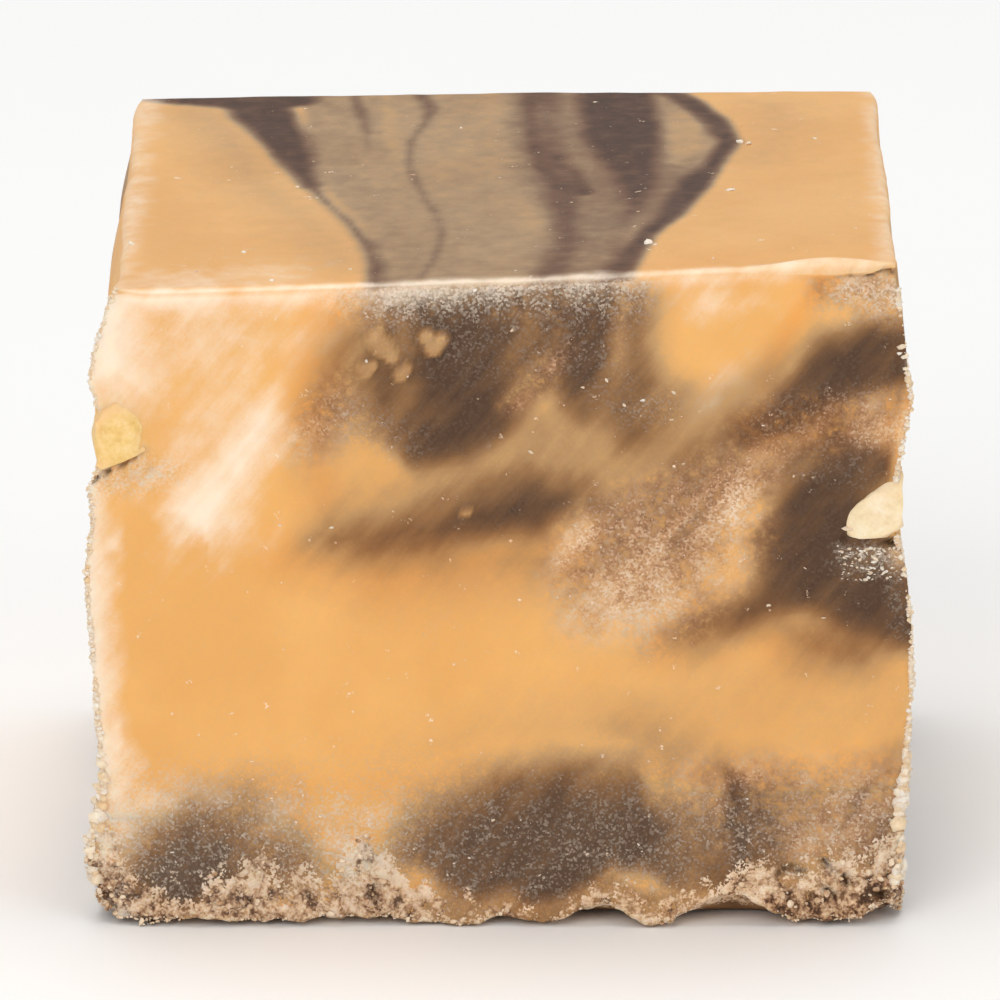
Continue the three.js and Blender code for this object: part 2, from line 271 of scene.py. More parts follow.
# %% Ribbons of the front cut: softness, then rows of across, up, half width, strength
FRONT_RIBBONS = [
    # the caramel itself is a little greyer at the right
    (3.0, [(2.0, 8.6, 1.5, 0.06), (8.0, 9.4, 2.4, 0.13), (15.0, 9.4, 2.6, 0.14)]),
    # pale mixed fudge under the dark cap, and up to the right
    (1.3, [
        (-6.4, 17.4, 1.0, 0.14), (-2.6, 17.8, 1.6, 0.33), (0.6, 18.8, 2.2, 0.39), (4.4, 19.0, 2.1, 0.37),
        (7.2, 19.5, 1.4, 0.34),
    ]),
    (0.8, [(6.7, 19.8, 1.1, 0.36), (9.6, 21.6, 0.9, 0.35), (12.0, 23.4, 0.7, 0.3)]),
    # the dark cap under the top edge; its left side is brown and slants down to the left
    (1.3, [
        (-5.6, 24.6, 0.5, 0.45), (-6.4, 22.9, 0.9, 0.55), (-6.9, 21.2, 0.8, 0.5), (-7.4, 19.8, 0.7, 0.4),
    ]),
    (1.0, [
        (-4.4, 24.6, 1.0, 0.62), (-4.8, 23.0, 0.8, 0.66), (-4.9, 21.4, 1.0, 0.74), (-4.8, 20.2, 0.8, 0.64),
    ]),
    (1.0, [
        (-2.8, 24.8, 1.4, 0.88), (-0.4, 24.6, 1.6, 0.92), (1.4, 24.8, 1.4, 0.8), (3.2, 24.8, 1.2, 0.88),
    ]),
    # the hook that hangs from it, darkest along its lower side
    (1.0, [(-1.0, 23.4, 2.0, 0.98), (-1.8, 21.9, 2.2, 0.98), (-2.6, 20.8, 1.7, 0.86)]),
    (0.9, [
        (-4.2, 20.1, 0.5, 0.72), (-3.3, 19.3, 0.9, 0.92), (-1.8, 19.7, 0.9, 0.98), (-0.4, 20.6, 0.9, 0.98),
        (0.6, 21.8, 0.7, 0.86),
    ]),
    (0.7, [(-3.6, 20.7, 0.25, 0.72), (-2.6, 20.6, 0.25, 0.74)]),
    (0.9, [(0.9, 24.2, 1.0, 0.74), (1.2, 23.2, 0.9, 0.7), (1.0, 22.0, 0.6, 0.66)]),
    # streaks of caramel through it, and two pale lumps
    (0.5, [(2.4, 23.3, 0.3, 0.5), (1.4, 22.0, 0.35, 0.48), (0.4, 20.9, 0.2, 0.5)]),
    (0.45, [(0.1, 20.9, 0.4, 0.6), (1.0, 21.8, 0.4, 0.52)]),
    # the right side of the cap and its foot
    (0.9, [(3.1, 25.0, 1.4, 0.92), (3.1, 23.4, 1.3, 0.95), (3.1, 22.2, 1.2, 0.93), (3.1, 21.2, 0.8, 0.78)]),
    (1.0, [(5.3, 25.0, 0.9, 0.64), (5.3, 23.4, 0.8, 0.6), (5.2, 21.8, 0.9, 0.62)]),
    (1.1, [(4.6, 21.0, 1.0, 0.68), (5.2, 19.9, 0.7, 0.72), (6.6, 21.4, 0.7, 0.46)]),
    # torn brown at its left, and a yellow patch under the hook
    (0.9, [(-6.3, 20.8, 0.8, 0.5), (-7.0, 19.6, 0.9, 0.46), (-7.5, 18.7, 0.6, 0.32)]),
    (0.6, [(-5.4, 18.9, 0.5, 0.1), (-4.6, 18.4, 0.5, 0.1), (-4.0, 18.0, 0.2, 0.16)]),
    (1.4, [(-7.4, 17.4, 0.7, 0.16), (-5.6, 16.8, 0.5, 0.26)]),
    # the ribbon that rises to the right under the pale mixture, and the haze under it
    (2.2, [
        (-8.0, 14.6, 0.2, 0.22), (-5.2, 14.2, 0.6, 0.36), (-1.6, 14.4, 0.7, 0.34), (1.4, 14.8, 1.1, 0.44),
    ]),
    (0.9, [(-5.6, 16.6, 0.5, 0.3), (-3.4, 17.0, 0.6, 0.4), (-1.0, 17.8, 0.5, 0.42)]),
    (1.0, [
        (-7.6, 15.5, 0.5, 0.44), (-6.6, 15.6, 0.8, 0.54), (-4.9, 15.4, 0.9, 0.68), (-2.9, 15.8, 0.9, 0.72),
        (-1.0, 16.5, 0.9, 0.88), (1.0, 16.9, 0.95, 0.94), (2.2, 17.2, 0.7, 0.8), (3.0, 17.5, 0.4, 0.6),
    ]),
    # the long diagonal to the upper right corner
    (0.7, [
        (5.4, 16.9, 0.4, 0.5), (6.8, 17.9, 0.5, 0.74), (8.6, 19.1, 0.9, 0.66), (10.6, 20.3, 0.9, 0.84),
        (12.2, 21.5, 1.1, 0.92),
    ]),
    (0.9, [(12.9, 22.2, 1.3, 0.96), (14.2, 22.8, 1.5, 0.94), (15.9, 22.8, 1.5, 0.88)]),
    (0.8, [(12.4, 25.4, 0.6, 0.34), (14.9, 25.7, 0.7, 0.42)]),
    (0.8, [
        (9.9, 17.9, 0.7, 0.52), (11.0, 18.7, 0.8, 0.58), (12.6, 19.9, 0.8, 0.58), (14.4, 20.4, 0.9, 0.4),
        (15.8, 20.3, 0.9, 0.3),
    ]),
    # the scraped patch
    (1.3, [(8.6, 17.8, 1.0, 0.4), (6.2, 15.9, 2.2, 0.5), (4.2, 14.4, 2.0, 0.44), (3.2, 12.8, 1.3, 0.28)]),
    (1.0, [(6.8, 15.7, 0.5, 0.6), (6.3, 14.9, 0.4, 0.54)]),
    (0.7, [(3.2, 17.4, 0.4, 0.6), (4.6, 16.2, 0.6, 0.56), (4.6, 14.9, 0.4, 0.5)]),
    # the dark mass beside it, its tail, which is partly a painted shadow line below the scraped patch, and
    # the dark under the nut
    (1.1, [(12.8, 17.9, 1.2, 0.95), (12.3, 16.6, 1.8, 0.97), (12.0, 15.2, 2.1, 0.97)]),
    (0.8, [(13.2, 18.6, 0.9, 0.86), (14.4, 18.6, 0.8, 0.8)]),
    (0.9, [(7.4, 17.7, 0.5, 0.6), (8.8, 18.2, 0.4, 0.54)]),
    (0.45, [
        (15.9, 21.6, 0.4, 0.1), (15.8, 20.0, 0.7, 0.04), (15.6, 18.8, 0.7, 0.03), (15.4, 17.8, 0.5, 0.03),
    ]),
    (1.1, [
        (11.6, 14.2, 1.3, 0.92), (10.3, 13.2, 1.0, 0.86), (8.8, 12.5, 0.8, 0.74), (7.2, 11.7, 1.0, 0.56),
        (5.6, 11.2, 0.7, 0.32),
    ]),
    (0.9, [(13.2, 14.4, 1.7, 0.97), (13.5, 12.8, 1.5, 0.99), (15.9, 12.9, 1.7, 0.97)]),
    (1.1, [(10.6, 12.0, 0.4, 0.42), (12.0, 11.3, 1.0, 0.5), (13.8, 11.0, 0.8, 0.5)]),
    (1.0, [(6.8, 14.0, 0.5, 0.34), (7.8, 13.4, 0.3, 0.36)]),
    # haze where the base swells up
    (1.6, [
        (-4.0, 7.0, 0.8, 0.1), (0.0, 8.0, 1.0, 0.14), (3.4, 8.1, 0.9, 0.24), (5.6, 7.6, 1.1, 0.34),
        (6.9, 6.8, 0.9, 0.38),
    ]),
]

# %% Ribbons of the back cut, seen from the front: a dark band under the top, folded over itself
BACK_RIBBONS = [
    (0.9, [
        (-16.0, 23.0, 1.4, 0.5), (-12.0, 22.4, 1.8, 0.8), (-8.0, 21.4, 2.4, 0.95), (-3.0, 20.8, 2.2, 0.92),
        (1.0, 20.2, 1.8, 0.85),
    ]),
    (0.9, [
        (0.0, 20.4, 1.9, 0.9), (5.0, 19.2, 2.3, 0.95), (9.0, 20.4, 2.6, 0.96), (13.0, 22.0, 2.4, 0.94),
        (16.0, 22.6, 2.2, 0.92),
    ]),
    (0.8, [(-10.0, 22.6, 0.5, 0.4), (-6.0, 22.2, 0.8, 0.35), (-1.0, 21.6, 0.5, 0.45)]),
    (0.8, [(4.0, 21.4, 0.5, 0.3), (7.4, 22.0, 0.9, 0.34), (10.8, 23.6, 0.4, 0.3)]),
    (0.6, [(-14.0, 18.6, 0.3, 0.35), (-10.0, 18.4, 0.6, 0.6), (-6.0, 18.2, 0.4, 0.5)]),
    (0.6, [(6.0, 16.2, 0.3, 0.3), (10.0, 16.6, 0.7, 0.66), (14.0, 17.8, 0.6, 0.7), (16.0, 18.4, 0.4, 0.6)]),
]

# %% Ribbons of the top: softness, then rows of across, back, half width, strength
TOP_RIBBONS = [
    (0.25, [
        (-7.0, 16.0, 1.7, 0.36), (-6.6, 7.0, 1.5, 0.36), (-5.6, 1.0, 1.9, 0.36), (-3.9, -6.0, 1.75, 0.36),
        (-3.0, -11.0, 2.0, 0.4), (-2.6, -16.0, 2.2, 0.42),
    ]),
    (0.9, [
        (-3.2, 16.0, 2.6, 0.33), (-2.4, 2.0, 2.8, 0.32), (-1.2, -6.0, 2.6, 0.35), (-0.6, -16.0, 2.6, 0.38),
    ]),
    (0.6, [(1.6, 16.0, 2.2, 0.46), (2.4, 2.0, 2.4, 0.48), (3.4, -6.0, 2.0, 0.5), (2.8, -16.0, 1.7, 0.48)]),
    (0.5, [(5.6, 15.8, 1.2, 0.5), (6.8, 8.0, 1.5, 0.45), (6.6, -1.0, 1.0, 0.5), (5.2, -7.0, 0.9, 0.48)]),
    # the dark wedge at the back left and the fine line that runs on from it
    (2.2, [
        (-12.6, 12.4, 0.6, 0.26), (-10.8, 5.0, 0.6, 0.24), (-9.6, 0.0, 0.6, 0.2), (-7.8, -5.0, 0.4, 0.18),
        (-6.4, -12.0, 0.4, 0.18),
    ]),
    (2.0, [(10.6, 12.6, 0.4, 0.16), (11.0, 8.0, 0.4, 0.12), (9.8, 3.0, 0.4, 0.12)]),
    (0.35, [
        (-15.0, 15.1, 0.4, 0.75), (-13.2, 14.6, 0.8, 0.95), (-11.4, 14.2, 1.1, 0.95),
        (-9.2, 14.2, 1.2, 0.95),
    ]),
    (0.35, [
        (-10.7, 15.2, 1.1, 0.95), (-10.1, 11.8, 1.25, 0.95), (-9.3, 8.6, 1.05, 0.93),
        (-8.7, 5.6, 0.8, 0.92), (-8.3, 3.0, 0.55, 0.9), (-7.9, 0.6, 0.3, 0.84),
    ]),
    (0.35, [
        (-7.9, 0.8, 0.26, 0.8), (-7.4, -1.4, 0.14, 0.7), (-6.7, -3.8, 0.12, 0.68), (-6.0, -6.4, 0.14, 0.7),
        (-5.4, -9.4, 0.2, 0.72), (-5.0, -12.4, 0.26, 0.74), (-5.0, -15.6, 0.3, 0.74),
    ]),
    # two fine lines in the pale part
    (0.26, [
        (-6.6, 15.4, 0.13, 0.7), (-6.1, 11.0, 0.13, 0.68), (-5.9, 8.4, 0.1, 0.6), (-5.8, 5.0, 0.03, 0.42),
    ]),
    (0.26, [
        (-3.9, 15.4, 0.13, 0.7), (-3.3, 12.6, 0.26, 0.7), (-3.5, 10.0, 0.1, 0.62), (-4.0, 7.0, 0.08, 0.6),
        (-4.0, 3.0, 0.08, 0.6), (-3.6, 0.0, 0.08, 0.58), (-2.9, -4.0, 0.08, 0.58), (-2.5, -8.0, 0.09, 0.6),
        (-2.6, -11.0, 0.09, 0.6), (-3.2, -14.6, 0.1, 0.6),
    ]),
    # the double band, the dark wedge, the pale lens and the ribbon folded round them
    (0.35, [
        (1.2, 15.6, 0.75, 0.74), (1.25, 10.0, 0.65, 0.6), (1.4, 5.0, 0.65, 0.72), (2.1, 0.0, 0.7, 0.76),
        (2.3, -5.0, 0.42, 0.76), (2.5, -9.0, 0.36, 0.74), (2.0, -14.0, 0.5, 0.72), (1.6, -15.6, 0.55, 0.72),
    ]),
    (0.25, [(0.75, 15.4, 0.12, 0.8), (0.8, 7.0, 0.1, 0.8), (1.3, 2.0, 0.12, 0.8)]),
    (0.25, [(2.6, 1.8, 0.3, 0.82), (3.1, -1.8, 0.28, 0.82)]),
    (0.4, [
        (4.3, 14.2, 1.6, 0.94), (4.5, 8.0, 1.5, 0.97), (4.9, 3.0, 1.1, 0.96), (5.1, -1.0, 0.7, 0.92),
        (5.05, -4.0, 0.25, 0.82), (4.4, -8.0, 0.1, 0.62),
    ]),
    (0.35, [
        (6.0, 14.2, 0.3, 0.4), (6.6, 12.6, 0.6, 0.34), (6.95, 9.4, 0.85, 0.26), (7.05, 5.6, 0.85, 0.26),
        (6.75, 3.0, 0.3, 0.32),
    ]),
    (0.28, [
        (6.2, 15.5, 0.4, 0.8), (7.4, 13.2, 0.55, 0.88), (8.35, 9.6, 0.5, 0.9), (8.75, 6.3, 0.45, 0.9),
        (8.2, 3.0, 0.4, 0.88), (7.5, 0.0, 0.55, 0.88), (7.0, -3.0, 0.6, 0.88), (6.4, -6.4, 0.45, 0.88),
        (5.3, -9.6, 0.4, 0.85), (4.6, -12.6, 0.5, 0.86), (4.2, -15.6, 0.55, 0.86),
    ]),
]
print("ribbons laid:", len(FRONT_RIBBONS) + len(BACK_RIBBONS) + len(TOP_RIBBONS))

# %% Chocolate in the base along the front: dark masses, torn and pale at the right, with upright streaks, and a band of painted shade low down at the right
BASE_PLAIN = 0.94
BASE_TORN = 0.42
# rows of across, lower end, upper end, strength
BASE_MASSES = np.array([
    (-16.4, 0.8, 3.0, 0.1), (-15.2, 0.4, 2.8, 0.45), (-14.3, 0.5, 3.0, 0.95), (-12.6, 0.6, 3.9, 1.15),
    (-11.0, 0.9, 4.3, 1.0), (-9.9, 1.6, 4.6, 0.82), (-8.6, 1.2, 4.2, 0.7), (-7.6, 0.8, 3.2, 0.5),
    (-6.4, 1.0, 2.8, 0.16), (-5.2, 1.0, 2.8, 0.14), (-3.9, 1.9, 4.2, 0.62), (-2.9, 1.8, 4.7, 0.82),
    (-1.6, 1.1, 5.1, 0.97), (-0.6, 0.9, 5.4, 1.0), (1.8, 0.8, 6.1, 1.0), (3.2, 1.4, 5.9, 1.0),
    (4.1, 2.2, 5.9, 1.0), (5.2, 2.0, 5.9, 1.05), (6.2, 1.6, 5.2, 0.84), (7.4, 0.9, 5.2, 0.66),
    (8.4, 1.0, 5.2, 0.74), (9.6, 1.8, 5.6, 0.86), (10.6, 1.4, 5.2, 0.64), (11.8, 2.0, 4.6, 0.4),
    (13.2, 1.6, 4.6, 0.52), (14.4, 1.4, 5.2, 0.7), (16.4, 1.0, 5.2, 0.8),
]).T
BASE_STREAKS_AND_SHADE = [
    (1.2, [
        (8.4, 7.0, 0.3, 0.5), (9.0, 5.4, 0.6, 1.1), (9.1, 3.6, 0.8, 1.2), (8.9, 2.2, 0.8, 1.0),
        (8.6, 1.0, 0.9, 0.9),
    ]),
    (1.0, [(6.4, 7.4, 0.5, 0.36), (6.9, 5.4, 0.5, 0.44)]),
    (0.9, [(13.6, 5.0, 0.5, 0.8), (13.4, 4.2, 0.5, 0.7), (12.8, 3.4, 0.4, 0.5)]),
    (0.9, [(15.8, 5.2, 0.4, 0.76), (15.9, 3.4, 0.4, 0.7), (15.8, 1.6, 0.5, 0.85)]),
    # a band of painted shade low down at the right, under the curled lower edge
    (0.8, [(10.8, 1.0, 0.6, 0.7), (12.0, 0.6, 0.5, 0.7)]),
]


def base_masses(x, z):
    """The dark masses of the base, melting into the caramel over a few millimetres."""
    low, high, strength = (np.interp(x, BASE_MASSES[0], row) for row in BASE_MASSES[1:])
    return strength * smooth(-0.9, 0.9, z - low) * (1 - smooth(-2.2, 2.8, z - high))


# %% The knife drags along this line on the front, from the lower left to the upper right
DRAG_ANGLE = np.radians(50)
DRAG = (np.cos(DRAG_ANGLE), np.sin(DRAG_ANGLE))


def knife_fray(x, z):
    """Streaks along the knife's path, from -1 to 1."""
    along = x * DRAG[0] + z * DRAG[1]
    across = x * DRAG[1] - z * DRAG[0]
    return wave(across / 0.5 + 40, along / 3.5 + 40) * 0.5 + wave(across / 1.2 + 70, along / 5 + 70) * 0.5


# %% Paler lumps stuck on the dark cap: across, up, radius
STUCK_LUMPS = [
    (-5.0, 23.55, 0.42), (-4.75, 23.2, 0.5), (-4.35, 22.8, 0.36), (-3.0, 23.6, 0.46), (-2.75, 23.2, 0.5),
    (-2.45, 23.5, 0.4), (-5.4, 22.3, 0.38), (-5.1, 22.45, 0.26), (-4.0, 22.1, 0.4), (-3.8, 22.35, 0.3),
    (-1.5, 16.6, 0.34),
]


def stuck_lumps(x, y, z):
    """How high the stuck lumps stand, from 0 to 1."""
    most = np.zeros(np.shape(x))
    for across, up, radius in STUCK_LUMPS:
        away = np.hypot(x - across, z - up) + 0.25 * radius * lumps(x, y, z, 0.9, 31, 1)
        most = np.maximum(most, 1 - (away / radius) ** 2)
    return most


# %% How much chocolate there is at a point of the block
TOP_SKIN = 0.45
BASE_BLUR = 1.5


def cocoa_at(x, y, z):
    """How much chocolate there is at each point, from 0 to 1, with a little painted shade laid in as dark
    mixture.
    """
    deep = (y + HALF_Y) / DEPTH
    drift = 5 * smooth(0, 1, deep)
    fray = 0.22 * knife_fray(x, z)
    across = x + fray * DRAG[0] + 0.4 * lumps(x, y, z, 2.4, 3) + drift * lumps(x, y, z, 11, 14)
    up = z + fray * DRAG[1] + 0.4 * lumps(x, y, z, 2.4, 9) + 0.5 * drift * lumps(x, y, z, 9, 17)
    near_front = lay_over(across, up, FRONT_RIBBONS)
    back_across = x + 0.7 * lumps(x, y, z, 3.0, 27)
    back_up = z + 0.7 * lumps(x, y, z, 3.0, 29)
    near_back = lay_over(back_across, back_up, BACK_RIBBONS)
    share = smooth(0.35, 0.75, deep + 0.15 * lumps(x, y, z, 5, 23))
    body = mix(near_front, near_back, share)

    top_across = x + 0.22 * lumps(x, y / 3, z, 2.2, 33)
    top_back = y + 0.3 * lumps(x, y, z, 2.6, 39)
    swirl = lay_over(top_across, top_back, [(1.35 * softness, path) for softness, path in TOP_RIBBONS])
    skin = smooth(-TOP_SKIN, -0.1, z - top_height(x, y))
    body = mix(body, swirl, skin)

    cloudy = 1 + 0.12 * lumps(x, y, z, 1.8, 25, 3)
    seam = layer_height(x, y) + 0.3 + 0.35 * lumps(x, y, z, 1.3, 21)
    dragged_up = (1.6 - 1.2 * bump((x - 12.4) / 1.6)) * smooth(6.0, 7.6, x) * (1 - smooth(0, 2.5, y + HALF_Y))
    base = 1 - smooth(-BASE_BLUR, BASE_BLUR, z - seam - dragged_up)
    pale = mix(0.16, BASE_TORN, smooth(6, 8.5, x + 0.4 * lumps(x, y, z, 1.2, 26)))
    above_rim = z - rim_height("front", x)
    pale = np.maximum(pale, 0.5 * (1 - smooth(0.8, 1.8, above_rim)) * smooth(-4.5, -3, x))
    ragged = 0.6 * lumps(x, y, z, 1.9, 28, 3)
    upright = 0.5 * lumps(x, y, z / 3, 0.9, 30, 2)
    streaks_and_shade = rub_on(x + ragged + upright, z + ragged, BASE_STREAKS_AND_SHADE)
    masses = np.maximum(base_masses(x + ragged, z + ragged), streaks_and_shade)
    chocolate = mix(np.maximum(pale * base, masses), BASE_PLAIN * base, smooth(0.02, 0.12, deep))
    mixture = np.maximum(body * cloudy, chocolate)
    stuck, on_front = stuck_lumps(x, y, z), 1 - smooth(0.2, 0.5, y + HALF_Y)
    return np.clip(mix(mixture, 0.4, on_front * smooth(0.0, 0.8, stuck)), 0, 1)


# %% [markdown]
# ## What the knife did
#
# The blade drags sugar and crumbs over the cut. Where it slid cleanly the fudge is smooth. Where it
# tore, the surface is a rough paste of both colours. White sugar gathers along every edge, where a
# painted highlight is laid over it, and in streaks where the blade pressed. These are smears, laid
# like the ribbons, but where two of them overlap the stronger one counts.

# %% Sugar smeared on the front, with painted highlights along its edges: softness, then rows of across, up, half width, strength
SUGAR_AND_HIGHLIGHT_SMEARS = [
    # the two big white drags at the left, more sugar over the upper left, along the left edge and under the
    # top edge, and a painted highlight along these edges
    (1.8, [
        (-8.6, 22.4, 0.2, 0.65), (-9.2, 20.4, 0.7, 0.9), (-10.4, 18.2, 1.1, 1.0), (-11.8, 16.6, 1.4, 1.05),
        (-12.8, 15.2, 0.7, 0.6),
    ]),
    (1.4, [(-9.4, 18.6, 0.3, 0.6), (-10.4, 16.4, 0.7, 0.8), (-11.0, 14.2, 0.2, 0.5)]),
    (0.8, [(-8.6, 16.4, 0.1, 0.35), (-9.2, 14.6, 0.1, 0.35)]),
    (3.0, [(-15.6, 24.6, 1.6, 1.25), (-15.2, 22.4, 1.4, 1.15), (-15.0, 20.8, 0.7, 0.85)]),
    (3.2, [
        (-12.4, 23.6, 2.0, 0.46), (-9.6, 23.4, 1.6, 0.56), (-10.4, 21.0, 1.8, 0.52),
        (-12.6, 18.0, 1.8, 0.52),
    ]),
    (3.0, [(-16.0, 16.0, 0.6, 0.36), (-16.0, 9.0, 0.6, 0.32)]),
    (1.0, [(-15.6, 3.4, 0.4, 0.7), (-15.4, 1.6, 0.3, 0.5)]),
    (2.6, [
        (-16.0, 25.0, 1.1, 0.95), (-12.6, 25.2, 0.8, 0.9), (-8.8, 25.2, 0.8, 0.9), (-6.8, 25.4, 0.4, 0.7),
    ]),
    (1.1, [(5.6, 25.9, 0.3, 0.75), (9.2, 26.1, 0.3, 0.8), (11.6, 26.2, 0.2, 0.6)]),
    (2.6, [(-8.4, 23.4, 1.0, 0.6), (-8.3, 21.6, 0.6, 0.5)]),
    (2.0, [(6.6, 24.8, 0.6, 0.3), (9.2, 24.2, 0.9, 0.36), (8.8, 22.8, 0.6, 0.36), (11.4, 25.2, 0.4, 0.3)]),
    # sugar along the upright edges and under the top edge, with a painted highlight on these edges
    (1.9, [
        (-16.5, 24.0, 0.9, 1.3), (-16.7, 18.0, 1.0, 1.3), (-16.7, 12.0, 1.1, 1.3), (-16.4, 7.0, 1.1, 1.3),
    ]),
    (1.1, [
        (16.5, 24.0, 0.3, 0.8), (16.6, 21.0, 0.4, 0.85), (16.6, 12.0, 0.4, 0.75), (16.3, 7.0, 0.4, 0.85),
    ]),
    (0.7, [
        (-16.3, 18.0, 0.2, 0.8), (-16.5, 13.0, 0.1, 0.8), (-16.3, 8.0, 0.2, 0.8), (-15.9, 4.4, 0.6, 0.9),
    ]),
    (0.6, [(16.2, 10.0, 0.1, 0.6), (15.8, 5.0, 0.3, 0.8), (15.6, 1.0, 0.4, 0.9)]),
    (0.35, [
        (-15.0, 25.35, 0.12, 1.0), (-6.0, 25.6, 0.1, 0.9), (0.0, 25.85, 0.08, 0.6), (6.0, 26.1, 0.06, 0.5),
        (11.0, 26.3, 0.06, 0.6),
    ]),
    (1.3, [
        (-14.8, 25.0, 0.45, 1.2), (-11.0, 25.1, 0.4, 1.05), (-8.4, 25.1, 0.45, 1.0), (-6.8, 25.3, 0.4, 0.9),
        (-5.6, 25.5, 0.3, 0.8),
    ]),
    (1.3, [
        (-6.4, 25.3, 0.3, 0.7), (-4.6, 25.3, 0.5, 1.0), (-2.0, 25.4, 0.5, 0.9), (-0.6, 25.5, 0.5, 0.85),
        (1.0, 25.6, 0.45, 0.85), (4.0, 25.7, 0.5, 0.85), (5.8, 25.8, 0.4, 0.7),
    ]),
    (1.6, [(5.6, 25.0, 0.5, 0.42), (8.4, 24.8, 0.8, 0.5), (10.4, 25.0, 0.4, 0.45)]),
    # drags over the caramel at the upper right and over the corner
    (1.2, [(10.2, 23.9, 0.1, 0.4), (8.8, 22.3, 0.4, 0.55), (7.6, 20.8, 0.3, 0.5), (7.0, 19.9, 0.1, 0.3)]),
    (1.0, [(12.6, 25.4, 0.4, 0.45), (15.0, 25.3, 0.7, 0.6)]),
    (0.6, [(15.5, 21.2, 0.2, 0.5), (15.4, 19.2, 0.25, 0.6), (15.2, 17.9, 0.1, 0.5)]),
    (0.35, [(15.8, 23.9, 0.1, 1.0), (15.7, 22.6, 0.2, 1.0)]),
    (1.2, [(16.1, 24.6, 0.3, 1.0), (16.1, 21.6, 0.4, 0.9)]),
    # sugar in the hollow under the right nut
    (0.4, [(13.2, 15.0, 0.25, 0.4), (14.4, 14.9, 0.35, 0.5), (15.6, 14.8, 0.35, 0.4)]),
    # pale paste in the scraped patch
    (1.0, [(9.2, 17.4, 0.4, 0.4), (8.8, 16.4, 0.5, 0.42), (8.5, 14.8, 0.4, 0.36)]),
    (1.1, [(6.8, 13.8, 0.4, 0.3), (5.4, 13.0, 0.4, 0.3)]),
    (0.9, [(3.4, 16.4, 0.3, 0.3), (2.8, 15.4, 0.3, 0.35)]),
    # sandy gap in the base, and bloom over its dark parts
    (1.8, [
        (-16.2, 8.0, 0.8, 0.9), (-15.5, 6.4, 1.0, 1.0), (-15.0, 4.6, 0.7, 0.95), (-14.8, 3.4, 0.3, 0.7),
    ]),
    (1.6, [(-14.8, 5.4, 0.4, 0.75), (-13.9, 4.8, 0.6, 0.85), (-12.6, 5.0, 0.4, 0.6)]),
    (2.0, [
        (-12.8, 5.4, 0.8, 0.5), (-10.4, 5.0, 0.6, 0.36), (-8.0, 4.4, 1.0, 0.42), (-5.0, 4.2, 0.8, 0.42),
    ]),
    (1.4, [(-7.8, 4.8, 0.2, 0.4), (-6.6, 3.4, 0.7, 0.75), (-5.4, 3.0, 0.5, 0.7)]),
    (1.4, [(-13.4, 4.4, 0.3, 0.4), (-11.8, 4.8, 0.1, 0.3)]),
]

# %% Torn patches
TORN_PATCHES = [
    (1.0, [
        (10.2, 19.2, 0.9, 0.9), (8.6, 17.4, 1.3, 1.0), (6.2, 16.0, 2.0, 1.0), (4.2, 14.4, 2.4, 1.0),
        (3.4, 12.8, 1.2, 0.8),
    ]),
    (1.0, [(9.2, 15.8, 1.3, 0.9), (6.8, 13.6, 1.7, 0.9), (5.8, 12.2, 0.9, 0.5)]),
    (0.8, [(-5.8, 25.0, 0.9, 0.5), (-2.0, 25.0, 0.6, 0.5), (2.4, 25.0, 0.9, 0.6), (4.4, 25.0, 0.9, 0.6)]),
    (0.8, [(-6.4, 21.4, 0.8, 0.6), (-7.2, 19.8, 0.9, 0.8), (-7.6, 18.9, 0.4, 0.5)]),
    (0.5, [(2.5, 23.2, 0.4, 1.0), (1.3, 21.9, 0.5, 1.0), (0.2, 20.8, 0.4, 0.9)]),
    (0.9, [(9.0, 19.4, 0.5, 0.6), (11.4, 20.3, 1.1, 0.8), (14.2, 20.3, 1.2, 0.85), (15.6, 20.0, 1.0, 0.8)]),
    (0.7, [(12.4, 25.4, 0.6, 0.9), (15.0, 25.2, 0.9, 0.95)]),
    (0.4, [(14.0, 15.0, 0.3, 0.6), (15.6, 14.9, 0.4, 0.6)]),
    (0.7, [(-15.8, 17.8, 0.7, 0.7), (-14.0, 18.3, 0.7, 0.8), (-12.8, 18.2, 0.4, 0.4)]),
    (0.9, [(7.6, 5.8, 0.8, 0.7), (9.6, 4.8, 1.9, 0.85), (15.2, 4.6, 1.9, 0.9)]),
]

# %% Fine pale grains of sugar over the dark parts
SUGAR_GRAINS = [
    (1.2, [(-6.2, 25.2, 0.5, 0.6), (-4.4, 24.9, 1.0, 0.9), (0.0, 25.2, 1.1, 1.0), (4.4, 25.3, 1.2, 1.0)]),
    (1.4, [(-3.6, 23.4, 1.4, 0.3), (3.6, 23.0, 1.4, 0.42), (4.6, 21.2, 0.9, 0.4)]),
    (0.9, [(-6.6, 20.6, 0.9, 0.8), (-3.6, 19.4, 0.7, 0.4)]),
    (0.9, [(4.8, 20.8, 0.6, 0.7), (6.2, 20.8, 0.5, 0.7)]),
    (1.2, [(12.6, 25.4, 0.8, 0.75), (15.4, 24.8, 0.9, 0.75)]),
    (1.2, [(10.0, 20.2, 0.8, 0.6), (15.0, 20.4, 1.4, 0.6)]),
    (0.8, [(11.6, 18.6, 0.8, 0.3), (13.8, 18.4, 0.8, 0.3)]),
    (0.6, [(13.2, 14.8, 0.6, 1.0), (15.4, 14.6, 0.7, 0.9), (15.4, 12.0, 0.5, 0.5)]),
    (2.8, [
        (-14.6, 2.8, 2.8, 1.0), (-8.0, 3.0, 3.0, 1.0), (-5.0, 2.8, 3.0, 1.0), (0.0, 3.0, 3.0, 0.65),
        (6.0, 3.2, 3.0, 0.8),
    ]),
    (0.7, [(-15.0, 17.8, 0.5, 0.7), (-13.6, 18.2, 0.6, 0.8), (-12.6, 18.0, 0.3, 0.5)]),
    (2.0, [(6.8, 4.0, 1.6, 1.0), (15.4, 4.0, 2.2, 1.0)]),
    (1.6, [(8.8, 17.8, 1.2, 0.6), (5.0, 15.0, 2.4, 0.65), (5.6, 12.8, 1.6, 0.6)]),
]

